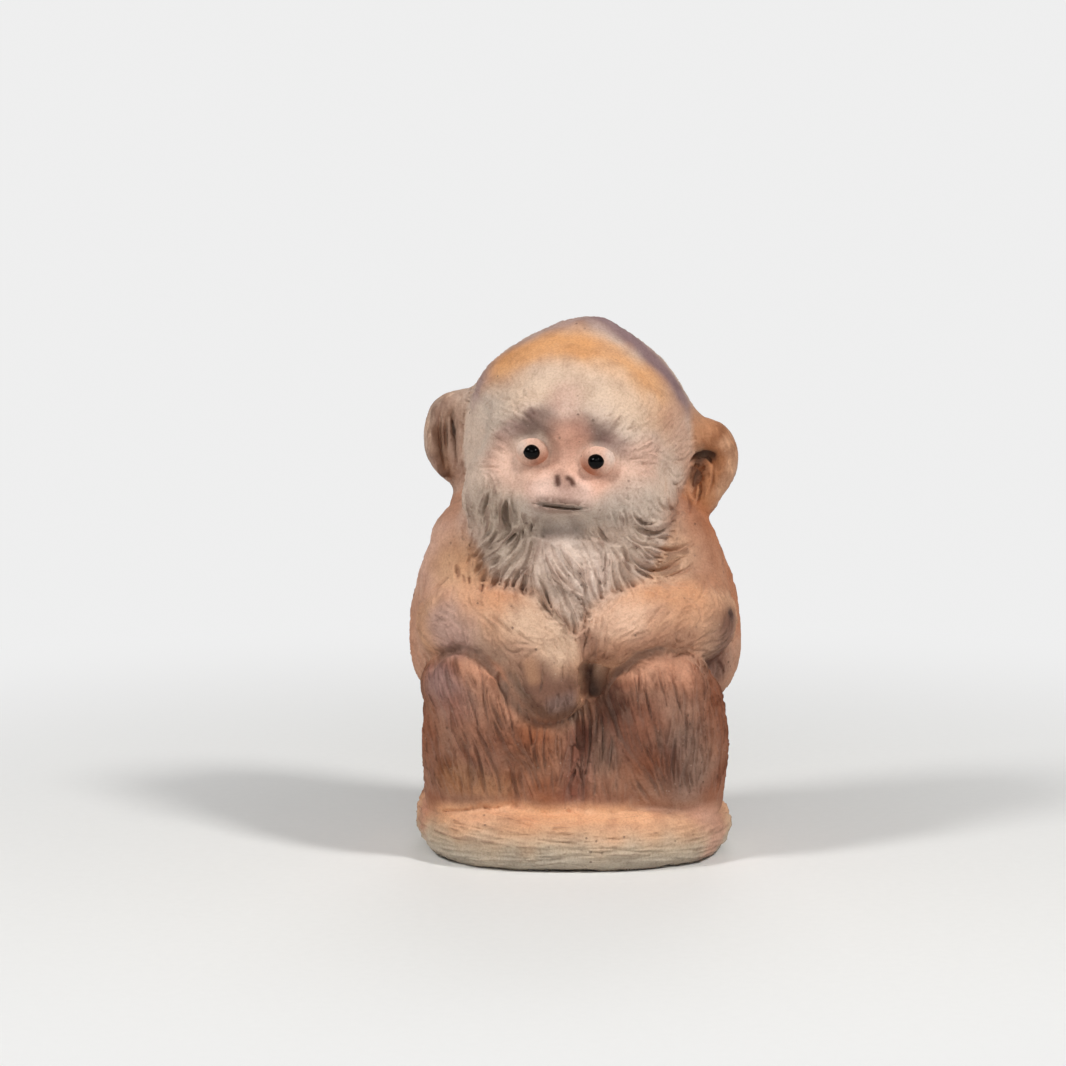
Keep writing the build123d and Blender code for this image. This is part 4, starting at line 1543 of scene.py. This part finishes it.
def distance_to_line(points, places):
    """How far points are from a line through some places."""
    least = np.linalg.norm(points - places[0], axis=1)
    for start, end in zip(places, places[1:]):
        way = end - start
        share = np.clip((points - start) @ way / (way @ way + tiniest), 0, 1)
        least = np.minimum(least, np.linalg.norm(points - start - share[:, None] * way, axis=1))
    return least


def set_attribute(piece, name, kind, field, values):
    made = piece.data.attributes.new(name, kind, "POINT")
    made.data.foreach_set(field, np.ascontiguousarray(values, dtype=np.float32).ravel())


def set_colours(piece, colours):
    opaque = np.ones((len(colours), 1))
    set_attribute(piece, "airbrush", "FLOAT_COLOR", "color", np.hstack([colours, opaque]))


def paint(piece, own, whole, groove, hollow_shading, swell):
    """Writes a piece's airbrushed colours with their painted shade and highlights, its scratches and its
    hollows into its mesh.
    """
    points = vertex_places(piece.data)
    set_colours(piece, airbrushed_and_shaded(points, own, whole, read_at(swell, points)))
    set_attribute(piece, "groove", "FLOAT", "value", read_at(groove, points))
    set_attribute(piece, "hollow_shading", "FLOAT", "value", read_at(hollow_shading, points))


# An eyeball's own colour, and the tones on it: the place of each from the ball's centre, with x
# outwards, its reach and where it is full, its strength and its colour
EYE_GROUND = (222, 180, 160)
EYE_SPRAYS = (
    # orange towards the nose, and darker below as painted shade
    ((-1.3, -1.2, -1.4), 2.7, 0.5, 0.95, (172, 98, 66)),
    # a painted highlight on the upper outer side, where the light falls
    ((1.6, -1.2, 0.6), 1.5, 0.3, 0.7, (224, 204, 192)),
)


def paint_eyeball(piece, side):
    """A pale pink eyeball, orange towards the nose, with painted shade below and a painted highlight on its
    upper outer side.
    """
    points = vertex_places(piece.data)
    colours = np.tile(np.array(tone(*EYE_GROUND)), (len(points), 1))
    for (out, back, up), reach, full, strength, tint in EYE_SPRAYS:
        place = node_centre(side + "_eyeball") + (out * SIDES[side], back, up)
        share = strength * soft_step(reach, full, np.linalg.norm(points - place, axis=1))
        colours += share[:, None] * (np.array(tone(*tint)) - colours)
    set_colours(piece, colours)


# Stage and lights

# The paper sweep, in metres: its side, how far back it lies, how high it rises and how wide it curves
sweep_side = 3.0
sweep_setback = 0.6
sweep_height = 2.0
sweep_curve = 0.6

# Its two paper tones, the tone that the camera sees away from the figure, and how far from the figure
# that starts and is full, in metres
PAPER_TONES = ((0.80, 0.80, 0.79, 1), (0.84, 0.84, 0.83, 1))
paper_glow = (0.86, 0.86, 0.86, 1)
glow_start = 0.03
glow_full = 0.16
paper_fibres = 900

# The lamps, in metres and watts: place, width, power and colour, and the place that they aim at
LAMPS = {
    "key": ((0.3, -0.26, 0.42), 0.1, 1.75, (1.0, 0.985, 0.96)),
    "second": ((-0.34, -0.24, 0.4), 0.12, 1.45, (1.0, 0.99, 0.97)),
    "front": ((0.0, -0.5, 0.3), 0.3, 0.4, (0.98, 0.99, 1.0)),
    "rim": ((0.05, 0.5, 0.4), 0.3, 0.6, (1.0, 1.0, 1.0)),
}
lamp_aim = (0, 0, 0.03)

# The world's strength on the figure. The camera sees it at 1, which is white
room_light = 0.15


def camera_rays():
    return Wire.node("LightPath", None, "Is Camera Ray")


def add_stage():
    """A sheet of pale paper that curves up behind the figure."""
    deselect()
    bpy.ops.mesh.primitive_plane_add(size=sweep_side, location=(0, sweep_setback, 0))
    sweep = bpy.context.object
    bpy.ops.object.mode_set(mode="EDIT")
    bpy.ops.mesh.select_all(action="DESELECT")
    bpy.ops.object.mode_set(mode="OBJECT")
    for edge in sweep.data.edges:
        edge.select = all(sweep.data.vertices[k].co.y > 0 for k in edge.vertices)
    bpy.ops.object.mode_set(mode="EDIT")
    bpy.ops.mesh.select_mode(type="EDGE")
    bpy.ops.mesh.extrude_region_move(TRANSFORM_OT_translate={"value": (0, 0, sweep_height)})
    bpy.ops.object.mode_set(mode="OBJECT")
    flattened(sweep, "paper_sweep")
    finish_with(sweep, "BEVEL", width=sweep_curve, segments=16, limit_method="ANGLE")
    bpy.ops.object.shade_smooth()
    sweep.data.materials.append(pale_paper())


def pale_paper():
    """Pale paper that the camera sees as one even tone, except under the figure and its shadow."""
    finish, shader = start_finish("pale_paper")
    place = object_places()
    fibre = noise(place, paper_fibres)
    link(mixed(fibre, *PAPER_TONES), shader, "Base Color")
    link(0.85 + fibre * 0.1, shader, "Roughness")
    away = Wire.node("VectorMath", {"operation": "LENGTH"}, "Value", n0=place)
    share = camera_rays() * rise_of(away, glow_start, glow_full)
    glow = Wire.node("Emission", Color=paper_glow)
    blend = Wire.node("MixShader", n0=share, n1=Wire(shader.outputs[0]), n2=glow)
    link(blend, Wire.tree.nodes["Material Output"], "Surface")
    return finish


def add_lamp(name, place, width, power, colour):
    data = bpy.data.lights.new(name, "AREA")
    data.shape = "DISK"
    data.size = width
    data.energy = power
    data.color = colour
    lamp = bpy.data.objects.new(name, data)
    bpy.context.collection.objects.link(lamp)
    lamp.location = place
    lamp.rotation_euler = (Vector(place) - Vector(lamp_aim)).to_track_quat("Z", "Y").to_euler()


def add_lights():
    for name, settings in LAMPS.items():
        add_lamp(name, *settings)
    world = bpy.data.worlds.new("studio")
    bpy.context.scene.world = world
    world.use_nodes = True
    Wire.tree = world.node_tree
    background = world.node_tree.nodes["Background"]
    link(room_light + camera_rays() * (1 - room_light), background, "Strength")
    background.inputs["Color"].default_value = (1, 1, 1, 1)


# The making


def hand_over(piece, name, finish):
    """A finished piece gets its finish and stands for its CAD node."""
    piece.data.materials.append(finish)
    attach(piece, "root")
    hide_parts(name)


# The eyes' dishes, the openings and the locks

# The dish thumbed into the face for each eyeball, in millimetres: its radii, how far before the ball it
# lies and how soft its edge is; and how far the clay that is smoothed up to the ball lies under it
dish_radii = (2.9, 1.95, 2.3)
dish_forward = 0.5
dish_soft = 1.2
lid_depth = 0.1
lid_soft = 0.6


def set_eyes(whole):
    forward = np.array(head_frame @ Vector((0, -1, 0)))
    for side in SIDES:
        centre = node_centre(side + "_eyeball")
        radius = node_size(side + "_eyeball").min() / 2
        dish = ball(centre + (radius + dish_forward) * forward, dish_radii, head_frame)
        press_in(whole, dish, dish_soft)
        press_on(whole, ball(centre, (radius - lid_depth,) * 3), lid_soft)


# What is opened in the face: the pixels that it passes, its radii there, how deep the tool's middle
# goes, and how soft the edges are
MOUTH = ((533, 503.5), (547, 505.5), (561, 507.5), (574, 508.5), (587, 508.5))
OPENINGS = (
    # the hollow of the chin
    (((549, 529), (562, 531), (575, 528)), (0.8, 1.1, 0.8), 0.35, 2.4),
    # the mouth, first the curve of its lips and then the parting between them
    (MOUTH, (0.08, 0.28, 0.38, 0.32, 0.08), 0.2, 0.12),
    (MOUTH, (0.06, 0.2, 0.28, 0.22, 0.06), 0.5, 0.08),
    # the nostrils
    (((557.5, 476), (558, 484)), (0.24, 0.32), 0.6, 0.06),
    (((566, 476.5), (571, 480), (573.5, 485)), (0.14, 0.34, 0.24), 0.6, 0.06),
)

# What is opened in the body, in the same way
RIGHT_KNEE = ((432, 668), (442, 655), (458, 649), (477, 654), (492, 670), (506, 688))
LEFT_KNEE = ((604, 690), (618, 671), (637, 656), (660, 650), (686, 655), (706, 669), (717, 688))
CREASES = (
    # the gap between the hand, the forearm and the knees
    (((585, 670), (587, 692)), (0.9, 1.0), 0.5, 0.3),
    (((600, 673), (596, 690)), (0.9, 0.9), 0.5, 0.3),
    # the creases over the knees
    (RIGHT_KNEE, (0.2, 0.3, 0.3, 0.3, 0.3, 0.2), 0.2, 0.7),
    (LEFT_KNEE, (0.2, 0.3, 0.3, 0.3, 0.3, 0.3, 0.2), 0.2, 0.7),
)

# How far a lock is smoothed into the clay that it stands on
lock_soft = 0.6


def open_up(whole, openings):
    for pixels, radii, depth, soft in openings:
        points = seen(whole, pixels)
        press_in(whole, roll(points - outward_at(whole, points) * depth, radii), soft)


def add_locks(whole):
    for height, radius, pixels in LOCKS:
        points = seen(whole, pixels)
        line = points - outward_at(whole, points) * (radius - height)
        press_on(whole, roll(line, [radius] * len(line)), lock_soft)


# How far inside the CAD model's bounds the looks stay, in millimetres
bounds_gap = 0.02


def keep_in_bounds(whole):
    """Presses the clay flat where it would pass the CAD model's own bounds."""
    for axis in range(3):
        shape = [1, 1, 1]
        shape[axis] = -1
        place = np.arange(low_corner[axis], high_corner[axis] + 1) * spacing
        low, high = (corner[axis] / MM for corner in cad_bounds)
        past = np.maximum(low + bounds_gap - place, place + bounds_gap - high)
        np.maximum(whole, past.astype(np.float32).reshape(shape), out=whole)


# The unevenness that the fingers leave, broad and small, each by its height, breadth and seed, and
# that of the airbrush, by its breadth and seed
BROAD_SWELLS = (0.17, 4.6, 3)
SMALL_SWELLS = (0.09, 1.9, 4)
SPRAY_SWELLS = (1.9, 6)

# Hollows for the painted shade in them and the painted highlight on the ridges: how near the surface
# they are read, over what reach, how deep counts full, and how softly the eyeballs lie in them
hollow_band = 1.2
hollow_reach = 0.5
full_hollow = 0.25
eye_soft = 0.1


def uneven(height, breadth, seed):
    return height * waves(breadth, seed)


def hollows_of(whole):
    """How far each place lies in a hollow, from 1 to -1 on a ridge, with the eyeballs in place, for the
    painted shade and highlight.
    """
    near = np.clip(whole, -hollow_band, hollow_band)
    for side in SIDES:
        eyeball = ball(node_centre(side + "_eyeball"), tuple(node_size(side + "_eyeball") / 2))
        press_on(near, eyeball, eye_soft)
    return np.clip((near - smoothed(near, hollow_reach)) / -full_hollow, -1, 1)


def make_figure():
    """The clay worked in the order that a maker takes, then parted into its pieces and painted."""
    own, whole = make_clay()
    least, label = nearest_piece(own)
    whole += uneven(*BROAD_SWELLS) + uneven(*SMALL_SWELLS)
    set_eyes(whole)
    skin = Skin(whole, label)
    scratches = Scratches()
    open_up(whole, OPENINGS)
    add_locks(whole)
    open_up(whole, CREASES)
    scratch_by_hand(scratches, whole)
    scratch_hair(scratches, whole, skin)
    smooth = whole.copy()
    groove = scratches.carve(whole)
    keep_in_bounds(whole)
    hollow_shading = hollows_of(whole)
    swell = waves(*SPRAY_SWELLS)
    clay = fired_clay("fired_clay")
    for name, field in own.items():
        piece = thinned(cut_free(name, field, whole, least))
        paint(piece, own, smooth, groove, hollow_shading, swell)
        hand_over(piece, name, clay)


def make_eyes():
    clay = fired_clay("eye_clay", scratched=False)
    glaze = black_glaze("black_glaze")
    for side in SIDES:
        eyeball = add_eyeball(side + "_eyeball")
        paint_eyeball(eyeball, side)
        hand_over(eyeball, side + "_eyeball", clay)
        hand_over(add_pupil(side + "_pupil"), side + "_pupil", glaze)


bpy.context.scene.view_settings.view_transform = "Standard"
add_camera()
add_stage()
add_lights()
make_figure()
make_eyes()
